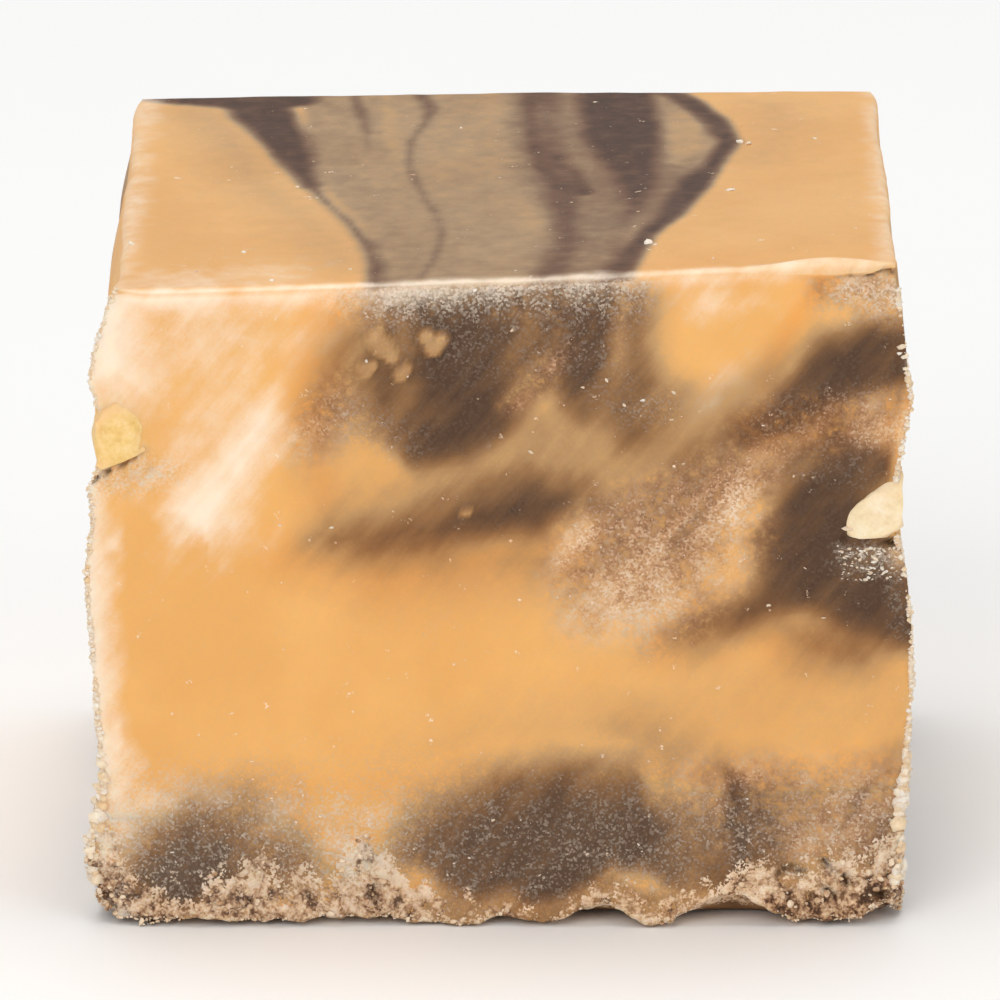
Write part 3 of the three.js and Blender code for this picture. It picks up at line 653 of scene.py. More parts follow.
# %% Films of thin chocolate over caramel, which look orange-brown
AMBER_FILMS = [
    (1.0, [(-6.5, 24.8, 0.6, 0.8), (-7.1, 22.6, 0.9, 0.9), (-7.6, 20.4, 0.9, 0.8)]),
    (0.4, [(14.9, 21.4, 0.2, 0.7), (14.7, 19.6, 0.2, 0.9), (14.9, 18.2, 0.2, 0.8)]),
    (0.6, [(12.2, 26.0, 0.4, 0.9), (10.9, 23.8, 0.35, 0.7), (9.9, 21.8, 0.3, 0.5)]),
    (0.6, [(15.6, 21.4, 0.4, 0.7), (15.4, 19.4, 0.5, 0.8), (15.2, 17.8, 0.3, 0.7)]),
    (0.6, [(9.6, 20.0, 0.7, 0.7), (12.4, 20.2, 1.0, 0.6)]),
    (0.6, [(-7.4, 19.6, 0.7, 0.5), (-6.6, 15.0, 0.5, 0.3)]),
    (1.6, [
        (-8.4, 15.0, 0.8, 0.7), (-4.8, 14.4, 1.1, 0.85), (-1.6, 14.8, 1.0, 0.75), (1.8, 15.2, 0.8, 0.65),
    ]),
    (1.4, [(6.2, 11.2, 0.7, 0.7), (9.0, 12.0, 0.6, 0.6), (12.2, 11.2, 0.9, 0.75), (14.8, 11.2, 0.5, 0.5)]),
    (1.4, [(-7.8, 18.2, 0.6, 0.25), (-7.8, 16.4, 0.6, 0.25)]),
    (0.5, [(8.4, 11.6, 0.5, 0.4), (10.4, 13.2, 0.4, 0.4)]),
    (0.7, [
        (-4.0, 1.5, 0.3, 0.2), (-2.6, 1.2, 0.3, 0.25), (0.8, 0.8, 0.3, 0.3), (3.7, 1.7, 0.3, 0.3),
        (6.0, 0.9, 0.4, 0.35), (7.8, 1.5, 0.4, 0.3),
    ]),
    (0.8, [(-8.0, 5.6, 0.3, 0.2), (8.0, 6.2, 0.4, 0.3), (15.0, 6.8, 0.5, 0.35)]),
]

# %% Cracks under the nuts, the shadow line under the lip, and pits, all darkened with painted shade
SHADED_CRACKS = [
    (0.14, [
        (-15.9, 17.9, 0.1, 1.0), (-15.2, 18.25, 0.08, 1.0), (-14.5, 18.75, 0.06, 0.9),
        (-13.7, 19.05, 0.02, 0.6),
    ]),
    (0.14, [(13.0, 15.5, 0.04, 0.9), (13.9, 15.5, 0.09, 1.0), (15.5, 15.3, 0.11, 1.0)]),
    # the shadow line under the curled lip
    (0.1, [(12.7, 26.05, 0.02, 0.4), (14.0, 26.15, 0.05, 0.75), (15.1, 26.2, 0.05, 0.75)]),
    # pits in the crust
    (0.2, [(10.6, 2.1, 0.06, 1.0), (11.1, 2.3, 0.14, 1.0), (11.6, 2.2, 0.06, 1.0)]),
    (0.16, [(12.5, 2.5, 0.12, 0.9), (12.8, 2.2, 0.06, 0.9)]),
    (0.16, [(13.2, 1.9, 0.16, 1.0), (13.4, 1.6, 0.08, 1.0)]),
    (0.14, [(12.5, 1.5, 0.1, 0.9), (12.9, 1.2, 0.08, 0.9)]),
    (0.16, [(14.6, 1.1, 0.12, 0.9), (15.1, 1.2, 0.1, 0.9)]),
    (0.14, [(-5.2, 1.6, 0.06, 0.8), (-5.1, 1.0, 0.1, 0.8)]),
]

# %% Where the crust of the front is palest
PALE_CRUST = [
    (0.8, [(-16.0, 4.4, 0.4, 0.3), (-15.9, 2.2, 0.6, 0.2)]),
    (0.6, [(-11.8, 1.7, 0.3, 0.25), (-9.2, 1.8, 0.3, 0.25)]),
    (0.8, [(-6.8, 2.0, 0.3, 0.25), (-4.6, 2.2, 0.5, 0.35)]),
    (0.9, [(9.8, 1.8, 0.3, 0.25), (12.4, 2.6, 0.5, 0.28), (15.4, 3.0, 0.7, 0.22)]),
]

smears = (SUGAR_AND_HIGHLIGHT_SMEARS, TORN_PATCHES, SUGAR_GRAINS, AMBER_FILMS, SHADED_CRACKS, PALE_CRUST)
print("smears, films and cracks:", sum(len(kind) for kind in smears))

# %% [markdown]
# ## The crust
#
# Along the foot the chocolate base is dry and breaks into crumbs, which pile up in heaps. Crumbs of
# this size could all be separate pieces, but most of them are still part of the block. So the big
# ones are domes raised out of the walls, at the same places as in the solid model, and only the
# small loose ones are made on their own later.

# %% Crumbs gather in heaps along the crust: wall, place along it, width, rows
HEAPS = [
    ("front", -14.8, 1.6, 4),
    ("front", -6.5, 3.2, 2),
    ("front", 12.5, 3.4, 3),
    ("right", -14.2, 1.8, 4),
    ("right", 6.0, 2.6, 2),
    ("back", 9.0, 3.0, 2),
    ("back", -11.0, 2.4, 2),
    ("left", -14.4, 1.6, 4),
    ("left", 3.0, 2.6, 1),
]
CRUST_HEIGHT = 0.75
CRUST_ROW = 0.55
# how far the crust of the front reaches above its lower edge; it is broken away in places
FRONT_CRUST = [
    (-16.6, 4.4), (-15.2, 3.6), (-14.4, 1.2), (-13.0, 0.5), (-12.2, 0.7), (-11.2, 1.8), (-9.4, 2.0),
    (-8.4, 1.3), (-7.8, 1.6), (-7.0, 1.0), (-6.2, 2.4), (-5.4, 3.2), (-4.4, 2.6), (-3.8, 1.2), (-2.8, 0.5),
    (-1.0, 0.3), (7.8, 0.25), (8.8, 0.7), (10.0, 1.7), (10.9, 1.5), (11.8, 2.3), (13.0, 2.6), (14.0, 2.1),
    (14.8, 2.2), (15.6, 4.0), (16.2, 7.0),
]


def crust_top(wall, along):
    """Height up to which a wall is covered by crumbly crust."""
    number = WALLS.index(wall)
    uneven = 0.3 * wave(along / 1.1, number + 50) + 0.25 * wave(along / 0.5, number + 60)
    if wall == "front":
        reach = np.interp(along, *zip(*FRONT_CRUST))
        return rim_height(wall, along) + reach + uneven * np.minimum(reach, 1)
    height = CRUST_HEIGHT + uneven
    for heap_wall, at, width, rows in HEAPS:
        if heap_wall == wall:
            height = height + CRUST_ROW * rows * bump((along - at) / width)
    return height


# %% The big crumbs of the crust, where the solid has them
CRUMB_MIN = 0.4
CRUMB_MAX = 0.85
CRUMB_SPACING = 1.8
CRUMB_STEP = 1.0
CRUMB_SUNK = 0.5
LAYER_MARGIN = 0.5


def half_length(wall):
    """Half the length of a wall, seen from above."""
    axis, _ = SIDES[wall]
    return HALVES[1 - axis]


def big_crumbs():
    """Wall, place along it, height and radius of every big crumb."""
    crumbs = []
    for number, (wall, (axis, side)) in enumerate(SIDES.items()):
        length = half_length(wall)
        count = int(2 * length / CRUMB_SPACING)
        for k in range(count):
            middle = mix(-length, length, (k + 0.5) / count)
            heaps = [heap[1:] for heap in HEAPS if heap[0] == wall]
            rows = 1 + sum(round(most * bump((middle - at) / width)) for at, width, most in heaps)
            for row in range(int(rows)):
                seed = 200 * number + 10 * k + row
                along = middle + 0.6 * CRUMB_SPACING * (scatter(seed, 1) - 0.5)
                radius = mix(CRUMB_MIN, CRUMB_MAX, scatter(seed, 2) / (1 + 0.4 * row))
                height = rim_height(wall, along) + 0.6 * radius + CRUMB_STEP * (row + 0.6 * scatter(seed, 3))
                x, y = (along, side * length) if axis == 1 else (side * length, along)
                ceiling = layer_height(x, y) - radius - LAYER_MARGIN
                crumbs.append((wall, along, min(height, ceiling), radius))
    return crumbs


CRUMBS = big_crumbs()
print("big crumbs in the crust:", len(CRUMBS))

# %% Raise the big crumbs out of the walls
CORNER_FADE = (0.2, 1.3)
CRUMBS_END = 6.0


def wall_shares(x, y):
    """How much a point belongs to each wall, from 0 to 1, fading over a millimetre round the corner."""
    return {
        "front": 1 - smooth(*CORNER_FADE, y + HALF_Y),
        "back": 1 - smooth(*CORNER_FADE, HALF_Y - y),
        "left": 1 - smooth(*CORNER_FADE, x + HALF_X),
        "right": 1 - smooth(*CORNER_FADE, HALF_X - x),
    }


def crumb_relief(x, y, z):
    """How far the big crumbs stand out of the walls; each is a worn and lumpy dome."""
    shares = wall_shares(x, y)
    stand_out = np.zeros(np.shape(x))
    low = np.flatnonzero(z < CRUMBS_END)
    x, y, z = x[low], y[low], z[low]
    sway = 0.35 * lumps(x, y, z, 0.9, 91)
    lift = 0.35 * lumps(x, y, z, 0.9, 93)
    most = np.zeros(len(low))
    for wall, along, height, radius in CRUMBS:
        place = x if SIDES[wall][0] == 1 else y
        away = np.hypot(place - along + sway, z - height + lift)
        dome = np.sqrt(np.maximum(radius**2 - away**2, 0)) - CRUMB_SUNK * radius
        most = np.maximum(most, dome * shares[wall][low])
    stand_out[low] = most
    return stand_out


# %% Crust, and how pale its crumbs are, with painted shade in its pits and towards the lower edge
LOWER_EDGE_SHADE = (0.02, 0.28)


def crust_cover(x, y, z, shares):
    """Where the crust is, from 0 to 1; the walls melt into each other at the corners."""
    crust = np.zeros(np.shape(x))
    for name, share in shares.items():
        along = x if SIDES[name][0] == 1 else y
        covered = 1 - smooth(-1.5, 1.5, z - crust_top(name, along) + 1.0 * lumps(x, y, z, 1.5, 43, 4))
        crust = np.maximum(crust, share * covered)
    return crust


def crumb_tone(x, y, z, front):
    """How pale the crust is, from 0 in its pits to 1 on its crumbs; the pits and the lower edge are darkened
    with painted shade.
    """
    shaded_pits = smooth(0.3, 0.6, lumps(x, y, z, 1.0, 67, 3))
    low_edge_shade = 1 - smooth(0.3, 2.6, z - underside_height(x, y))
    low_edge_shade = mix(*LOWER_EDGE_SHADE, smooth(9, 15, np.abs(x))) * low_edge_shade
    heaped = 0.5 + front * rub_on(x, z, PALE_CRUST) - low_edge_shade
    return np.clip(heaped + 0.5 * lumps(x, y, z, 0.75, 71, 3) - 0.6 * shaded_pits, 0, 1)


# %% Torn paste, and sugar with painted highlights, on the walls
SIDE_TORN = 0.8
SIDE_SUGAR = 0.5
CORNER_SUGAR_AND_HIGHLIGHT = 0.8
SIDE_GRAINS = 0.08


def torn_paste(x, y, z, front, other_walls):
    """Where the knife tore the fudge: laid down on the front, patchy on the other walls."""
    patchy = smooth(0.15, 0.75, lumps(x, y, z, 4.5, 41, 3))
    return np.maximum(front * rub_on(x, z, TORN_PATCHES), SIDE_TORN * patchy * other_walls)


def wall_sugar_and_highlight(x, y, z, front, other_walls, is_wall):
    """Sugar smeared on the walls, and gathered at their corners, with a painted highlight along the edges."""
    streaky = smooth(0.25, 0.8, lumps(x + 0.6 * z, y + 0.6 * z, z * 0.4, 3.2, 45))
    sugar = np.maximum(front * rub_on(x, z, SUGAR_AND_HIGHLIGHT_SMEARS), SIDE_SUGAR * streaky * other_walls)
    # sugar and a painted highlight along the upright corners
    corner = smooth(HALF_X - 0.7, HALF_X, np.abs(x)) * smooth(HALF_Y - 0.7, HALF_Y, np.abs(y))
    corner = corner * (1 - front * smooth(-5, 0, x)) * smooth(-0.5, 0.6, lumps(x, y, z, 1.6, 49))
    return np.maximum(sugar, CORNER_SUGAR_AND_HIGHLIGHT * corner * is_wall)


# %% The rim of the top: sugar and a painted highlight along its edges, a painted sheen near its front left, and a painted glow of caramel behind its front edge
def top_rim(x, y, z, on_top):
    """Sugar with a painted highlight and sheen along the rim, and a painted amber glow behind it, each from 0
    to 1.
    """
    inside = y + HALF_Y + 0.15 * lumps(x, y, z, 0.7, 47)
    # sugar with a painted highlight along the front edge and the side edges of the top
    sugar = on_top * (1 - smooth(0.0, 1.2, inside)) * mix(0.38, 0.56, smooth(-4, 4, x))
    sugar = sugar + 0.34 * on_top * (1 - smooth(0.05, 0.35, inside)) * (1 - smooth(0, 7, x))
    sugar = np.maximum(sugar, 0.5 * on_top * smooth(HALF_X - 1.6, HALF_X, np.abs(x)))
    # a painted sheen near the front edge, at the left
    sugar = np.maximum(sugar, 0.42 * on_top * (1 - smooth(1, 7, inside)) * (1 - smooth(-9, -5, x)))
    # a painted glow of caramel behind the front edge
    glow = on_top * smooth(0.1, 0.6, inside) * (1 - smooth(0.5, 6, inside)) * mix(0.1, 0.34, smooth(0, 8, x))
    return sugar, glow


# %% What the surface is made of, at every vertex
def surface_at(x, y, z):
    """Every finish that the material needs, as a number from 0 to 1 for each vertex."""
    shares = wall_shares(x, y)
    wall = np.maximum.reduce(list(shares.values()))
    front = shares["front"]
    other_walls = (wall - front).clip(0, 1)
    below_top = top_height(x, y) - z
    is_wall = smooth(0.02, 0.3, below_top)
    on_top = 1 - smooth(0.05, 0.25, below_top)

    torn = torn_paste(x, y, z, front, other_walls)
    sugar = wall_sugar_and_highlight(x, y, z, front, other_walls, is_wall)
    shift = 0.2 * lumps(x, y, z, 0.5, 69)
    rim_sugar_and_highlight, glow = top_rim(x, y, z, on_top)
    amber = np.maximum(front * rub_on(x, z, AMBER_FILMS), 0.5 * torn * other_walls)
    return {
        "cocoa": cocoa_at(x, y, z),
        # amber films on the walls, and the painted glow behind the top's front edge
        "amber": np.maximum(amber * (1 - on_top), glow),
        "top_skin": 1 - is_wall,
        # sugar on the walls and the rim, with painted highlights along the edges and a painted sheen on the
        # top
        "sugar": np.maximum(sugar * is_wall, rim_sugar_and_highlight),
        "torn": torn * is_wall,
        "grains": np.maximum(front * rub_on(x, z, SUGAR_GRAINS), SIDE_GRAINS * wall) * is_wall,
        "crust": crust_cover(x, y, z, shares),
        # how pale the crust is, with painted shade in its pits and towards the lower edge
        "crumb": crumb_tone(x, y, z, front),
        # cracks and pits darkened with painted shade, and a painted shadow line under the lip
        "crack_and_shade": front * rub_on(x + shift, z - shift, SHADED_CRACKS),
    }


# %% [markdown]
# ## Building the two layers
#
# Each layer is a closed skin: four walls, and a top or an underside. A grid of points lies on the
# outside of a plain cuboid, and `block_point` moves each to its place. The lines of the grid crowd
# towards the edges, where the crumbly detail is. The face between the two layers is never seen, so it
# is a simple fan of triangles, with a sharp edge round it that keeps the shading of the walls clean.

# %% A closed skin round a cuboid of points
GRID_ACROSS = 200
GRID_DEEP = 150
BODY_ROWS = 98
BASE_ROWS = 36
# how strongly the lines of the grid crowd towards the edges: across, front to back, up
CROWD_ACROSS = 0.12
CROWD_DEEP = 0.25
CROWD_UP = 0.45


def crowd(t, pull):
    """Grid places from -1 to 1, closer together near the ends."""
    return t * (1 + pull - pull * t * t)


def outline_cells():
    """The grid's outline seen from above, anticlockwise, as column and row numbers."""
    front = [(i, 0) for i in range(GRID_ACROSS)]
    right = [(GRID_ACROSS, j) for j in range(GRID_DEEP)]
    back = [(i, GRID_DEEP) for i in range(GRID_ACROSS, 0, -1)]
    left = [(0, j) for j in range(GRID_DEEP, 0, -1)]
    return np.array(front + right + back + left)


def plan(column, row):
    """Where a line of the grid lies on the plain cuboid, seen from above."""
    x = HALF_X * crowd(2 * column / GRID_ACROSS - 1, CROWD_ACROSS)
    y = HALF_Y * crowd(2 * row / GRID_DEEP - 1, CROWD_DEEP)
    return x, y


def layer_skin(low, high, rows, hidden_face):
    """Vertices in millimetres and faces of one layer; its hidden face is the low or the high one."""
    ring = outline_cells()
    x, y = plan(ring[:, 0], ring[:, 1])
    levels = np.arange(rows + 1)[:, None] / rows
    levels = levels - CROWD_UP * np.sin(2 * np.pi * levels) / (2 * np.pi)
    z = mix(low(x, y), high(x, y), levels)
    walls = np.stack([np.broadcast_to(x, z.shape), np.broadcast_to(y, z.shape), z], -1).reshape(-1, 3)
    count = len(ring)
    k = np.arange(count)
    after = (k + 1) % count
    faces = []
    for level in range(rows):
        low_row, high_row = level * count, (level + 1) * count
        quads = np.stack([low_row + k, low_row + after, high_row + after, high_row + k], -1)
        faces.extend(quads.tolist())

    # the shown face: a grid inside the ring
    shown_level = rows if hidden_face == "low" else 0
    height = high if hidden_face == "low" else low
    ids = np.full((GRID_ACROSS + 1, GRID_DEEP + 1), -1)
    ids[ring[:, 0], ring[:, 1]] = shown_level * count + k
    inner = np.argwhere(ids < 0)
    ids[inner[:, 0], inner[:, 1]] = len(walls) + np.arange(len(inner))
    inner_x, inner_y = plan(inner[:, 0], inner[:, 1])
    cap = np.stack([inner_x, inner_y, height(inner_x, inner_y)], -1)
    quads = np.stack([ids[:-1, :-1], ids[1:, :-1], ids[1:, 1:], ids[:-1, 1:]], -1).reshape(-1, 4)
    if hidden_face == "high":
        quads = quads[:, ::-1]
    faces.extend(quads.tolist())

    # the hidden face: a fan round its middle
    hidden = high if hidden_face == "high" else low
    middle = np.array([[0, 0, hidden(0.0, 0.0)]])
    hub = len(walls) + len(cap)
    hidden_row = rows * count if hidden_face == "high" else 0
    first, second = hidden_row + k, hidden_row + after
    if hidden_face == "low":
        first, second = second, first
    fan = np.stack([first, second, np.full(count, hub)], -1)
    faces.extend(fan.tolist())
    points = np.concatenate([walls, cap, middle])
    return np.stack(block_point(*points.T), -1), faces, hidden_row + k


# %% Fine relief: lumps in the torn patches, pores in the crust, cracks under the nuts, worn edges
EDGE_ROUND = 0.38
EDGE_WORN = 0.5
LIP = {"at": 12.4, "width": 2.2, "height": 0.4, "depth": 0.45}
# heights in millimetres
STUCK_HEIGHT = 0.35
CRUST_HEIGHTS = 0.55
BIG_CRUMB_SHARE = 0.7
CRACK_DEPTH = 0.45


def relief(points, surface):
    """How far each point is raised out of the smooth block, in millimetres."""
    x, y, z = points.T
    rough = surface["torn"] * (0.1 * lumps(x, y, z, 0.8, 61) + 0.05 * lumps(x, y, z, 0.4, 63, 1))
    rough = rough + STUCK_HEIGHT * wall_shares(x, y)["front"] * np.sqrt(stuck_lumps(x, y, z))
    fine = 0.12 * lumps(x, y, z, 0.36, 72, 1)
    crumbly = surface["crust"] * (CRUST_HEIGHTS * (surface["crumb"] - 0.45) + fine)
    crumbly = crumbly + BIG_CRUMB_SHARE * crumb_relief(x, y, z)
    upright = 1 - smooth(0, EDGE_WORN, np.maximum(HALF_X - np.abs(x), HALF_Y - np.abs(y)))
    ragged = upright * (0.1 * lumps(x, y, z, 0.7, 73) + 0.06 * lumps(x, y, z, 0.3, 75, 1))
    below_top = top_height(x, y) - z
    lip = LIP["height"] * bump((x - LIP["at"]) / LIP["width"]) * bump((y + HALF_Y) / LIP["depth"])
    return rough + crumbly + ragged + lip * (1 - smooth(0, 0.6, below_top)) - CRACK_DEPTH * surface["crack_and_shade"]


# %% The top edge is rounded
def round_top_edge(points):
    """Push the points near the top edge in and down, on to a quarter of a circle."""
    x, y, z = points.T
    radius = EDGE_ROUND * (1 + 0.4 * lumps(x, y, z, 1.4, 77))
    below = np.maximum(top_height(x, y) - z, 0)
    for wall, (axis, side) in SIDES.items():
        place = HALVES[axis] + wall_out(wall, points[:, 1 - axis], z)
        gap = np.maximum(place - side * points[:, axis], 0)
        away = gap + below
        angle = np.pi / 4 * np.clip(1 - away / radius, 0, 1)
        short, long = radius * (1 - np.cos(angle)), radius * (1 - np.sin(angle)) - away
        near = away < radius
        inward = np.where(near, np.where(gap < below, short, long), 0)
        points[:, axis] -= side * inward
        points[:, 2] -= np.where(near, np.where(gap < below, long, short), 0)
    return points


# %% Which way is out
def outward(points, faces):
    """A direction out of the surface at each vertex, from the faces round it."""
    normals = np.zeros(points.shape)
    quads = np.array([f for f in faces if len(f) == 4])
    across = points[quads[:, 2]] - points[quads[:, 0]]
    along = points[quads[:, 3]] - points[quads[:, 1]]
    face_normals = np.cross(across, along)
    for corner in range(4):
        np.add.at(normals, quads[:, corner], face_normals)
    length = np.linalg.norm(normals, axis=1, keepdims=True)
    return normals / np.maximum(length, 1e-12)


# %% From points to a piece
def make_mesh(name, points, faces, material, attributes=None, sharp_ring=None):
    """A smooth-shaded mesh object from points in millimetres, with one number per vertex for each finish."""
    mesh = bpy.data.meshes.new(name)
    mesh.from_pydata((np.asarray(points) * MM).tolist(), [], faces)
    mesh.polygons.foreach_set("use_smooth", np.ones(len(mesh.polygons), bool))
    for finish, values in (attributes or {}).items():
        stored = mesh.attributes.new(finish, "FLOAT", "POINT")
        stored.data.foreach_set("value", np.asarray(values, np.float32))
    if sharp_ring is not None:
        ends = np.empty(2 * len(mesh.edges), int)
        mesh.edges.foreach_get("vertices", ends)
        on_ring = np.zeros(len(mesh.vertices), bool)
        on_ring[sharp_ring] = True
        sharp = mesh.attributes.new("sharp_edge", "BOOLEAN", "EDGE")
        sharp.data.foreach_set("value", on_ring[ends.reshape(-1, 2)].all(1))
    mesh.materials.append(material)
    mesh.update()
    piece = bpy.data.objects.new(name, mesh)
    bpy.context.scene.collection.objects.link(piece)
    return piece


# %% [markdown]
# ## The nuts
#
# Chopped nuts lie in the stirred layer, and the knife goes through some of them. Each is an uneven
# lump, trimmed level with the wall. The block is hollowed a little where a nut lies, so that the nut
# fills its own socket, and the lump reaches well inside it. Caramel is smeared over the rim of the
# left one, so its face is domed, and the rim dips under the caramel.

# %% Places and sizes of the nuts, as in the solid model
NUT_PROUD = 0.08
SOCKET_DEPTH = 0.12
NUT_TURN = 0.3
# its middle and radii, its turn and slant, where its flat foot is, and the walls that trim it;
# the left one has a foot that rises to the right, and a domed face
NUTS = {
    "nut_left": {
        "at": (-14.9, -14.2, 19.5), "radii": (1.3, 1.6, 1.5), "turn": 0.5, "slant": 0.1, "foot": 0.62,
        "cut": ("front", "left"), "rise": 0.42, "dome": 0.24,
    },
    "nut_right": {
        "at": (14.4, -14.3, 16.6), "radii": (1.4, 1.5, 1.4), "turn": 1.1, "slant": 0.35, "foot": 0.7,
        "cut": ("front", "right"),
    },
    "nut_side": {
        "at": (14.8, 3.2, 19.2), "radii": (1.3, 1.7, 1.3), "turn": 2.1, "slant": 0, "foot": 0.8,
        "cut": ("right",),
    },
    "nut_back_a": {
        "at": (-6.4, 15.0, 20.6), "radii": (1.7, 1.3, 1.4), "turn": 0.2, "slant": -0.3, "foot": 1,
        "cut": ("back",),
    },
    "nut_back_b": {
        "at": (4.8, 15.0, 18.4), "radii": (1.3, 1.2, 1.6), "turn": 1.7, "slant": 0.2, "foot": 0.6,
        "cut": ("back",),
    },
}


def turned(points, angle):
    """Points turned about the upright axis."""
    x, y, z = points.T
    return np.stack([x * np.cos(angle) - y * np.sin(angle), x * np.sin(angle) + y * np.cos(angle), z], -1)


def nut_sockets(points):
    """How deep each point of the block is pressed in by the nuts, from 0 to 1."""
    pressed = np.zeros(len(points))
    for nut in NUTS.values():
        away = turned(points - np.array(nut["at"]), -NUT_TURN * nut["turn"])
        x, y, z = (away / np.array(nut["radii"])).T
        reach = np.maximum(np.linalg.norm([x - nut["slant"] * z, y, z], axis=0), -z / nut["foot"])
        hollow = 1 - smooth(0.9, 1.04, reach)
        if "dome" in nut:
            hollow = hollow * (1 - smooth(-0.7, -0.35, z))
        pressed = np.maximum(pressed, hollow)
    return pressed


# %% [markdown]
# ## The finish of fudge
#
# Fudge is fine sugar crystals held in butter and syrup. Light goes a little way in and comes out
# again, so it gets some subsurface scattering, and its gloss is soft. One material serves both
# layers: it reads how much chocolate, sugar, tearing, crust and crack each vertex has, breaks the
# edges up with fine noise, and picks its colours from there. Along with the sugar it paints
# highlights on the edges and a sheen and glow on the top, and it paints shade in the cracks and
# the crust. Gradients would be simpler, but only noise at the size of the crystals makes it look
# edible.

# %% Small helpers for node materials
def tint(red, green, blue):
    """A colour as the eye reads it, 0 to 255, turned into what the shader needs."""
    values = [c / 255 for c in (red, green, blue)]
    return [v / 12.92 if v <= 0.04045 else ((v + 0.055) / 1.055) ** 2.4 for v in values] + [1]


class Recipe:
    """A node material with short words for the nodes that it needs."""

    def __init__(self, name):
        self.material = bpy.data.materials.new(name)
        self.material.use_nodes = True
        self.tree = self.material.node_tree
        self.shader = self.tree.nodes["Principled BSDF"]
        self.place = self.node("ShaderNodeTexCoord").outputs["Object"]
        self.numbers = {}

    def node(self, kind, inputs=None, **settings):
        """A node with its settings, and a number, a colour or a link on each named socket."""
        made = self.tree.nodes.new(kind)
        for name, value in settings.items():
            setattr(made, name, value)
        for socket, value in (inputs or {}).items():
            self.put(made.inputs[socket], value)
        return made

    def put(self, socket, value):
        if isinstance(value, bpy.types.NodeSocket):
            self.tree.links.new(value, socket)
        else:
            socket.default_value = value

    def number(self, name):
        """The number from 0 to 1 that each vertex carries under this name."""
        if name not in self.numbers:
            made = self.node("ShaderNodeAttribute", attribute_name=name)
            self.numbers[name] = made.outputs["Fac"]
        return self.numbers[name]

    def read(self, *names):
        return [self.number(name) for name in names]

    def math(self, operation, a, b):
        return self.node("ShaderNodeMath", {0: a, 1: b}, operation=operation).outputs[0]

    def add(self, a, b):
        return self.math("ADD", a, b)

    def scale(self, a, b):
        return self.math("MULTIPLY", a, b)

    def about(self, noise, share):
        """A noise as a small change up or down: zero in its middle, times the share."""
        return self.scale(self.math("SUBTRACT", noise, 0.5), share)

    def sum(self, *parts):
        """Values added up by their weights and held from 0 to 1; None stands for a plain number."""
        total = sum(weight for value, weight in parts if value is None)
        for value, weight in parts:
            if value is not None:
                total = self.add(total, self.scale(value, weight))
        total.node.use_clamp = True
        return total

    def stretch(self, across, back, up, turn=(0, 0, 0)):
        """The place in the object, in units of the given millimetres, turned first."""
        turning = {"Vector": self.place, "Rotation": turn}
        turned_place = self.node("ShaderNodeMapping", turning, vector_type="POINT").outputs[0]
        scale = (1 / (across * MM), 1 / (back * MM), 1 / (up * MM))
        return self.node("ShaderNodeMapping", {"Vector": turned_place, "Scale": scale}).outputs[0]

    def noise(self, size=None, place=None, detail=3.0, roughness=0.55):
        """Cloudy noise of a size in millimetres, or in a stretched place."""
        inputs = {"Detail": detail, "Roughness": roughness}
        inputs["Vector"] = self.place if place is None else place
        inputs["Scale"] = 1.0 if size is None else 1 / (size * MM)
        return self.node("ShaderNodeTexNoise", inputs).outputs["Fac"]

    def grains(self, size):
        """Grains of the given size in millimetres: a random number from 0 to 1 for each."""
        made = self.node("ShaderNodeTexVoronoi", {"Vector": self.place, "Scale": 1 / (size * MM)})
        return self.node("ShaderNodeSeparateColor", {"Color": made.outputs["Color"]}).outputs[0]

    def fade(self, value, start, end, low=0.0, high=1.0):
        """`low` where the value is under `start`, `high` over `end`, smooth between."""
        inputs = {"Value": value, "From Min": start, "From Max": end, "To Min": low, "To Max": high}
        return self.node("ShaderNodeMapRange", inputs, interpolation_type="SMOOTHSTEP").outputs[0]

    def blend(self, share, first, second, way="MIX"):
        """From the first colour to the second, as far as the share says."""
        made = self.node("ShaderNodeMix", data_type="RGBA", blend_type=way)
        for number, value in ((0, share), (6, first), (7, second)):
            self.put(made.inputs[number], value)
        return made.outputs[2]

    def times(self, share, first, second):
        """The first colour darkened by the second, as far as the share says."""
        return self.blend(share, first, second, "MULTIPLY")

    def colours(self, value, stops):
        """A colour from a row of stops, each a place from 0 to 1 and a colour as the eye reads it."""
        made = self.node("ShaderNodeValToRGB", {"Fac": value})
        row = made.color_ramp.elements
        while len(row) < len(stops):
            row.new(0.5)
        for element, (place, colour) in zip(row, stops):
            element.position = place
            element.color = tint(*colour)
        return made.outputs["Color"]

    def soft_inside(self, share, spread, depth):
        """Light that goes in and comes out again: its share, its spread by colour, its depth in mm."""
        self.shader.inputs["Subsurface Weight"].default_value = share
        self.shader.inputs["Subsurface Radius"].default_value = spread
        self.shader.inputs["Subsurface Scale"].default_value = depth * MM

    def bumps(self, height, depth, strength, after=None):
        """Relief finer than the mesh, `depth` millimetres deep, laid over any relief before it."""
        inputs = {"Height": height, "Distance": depth * MM, "Strength": strength}
        if after is not None:
            inputs["Normal"] = after
        return self.node("ShaderNodeBump", inputs).outputs["Normal"]


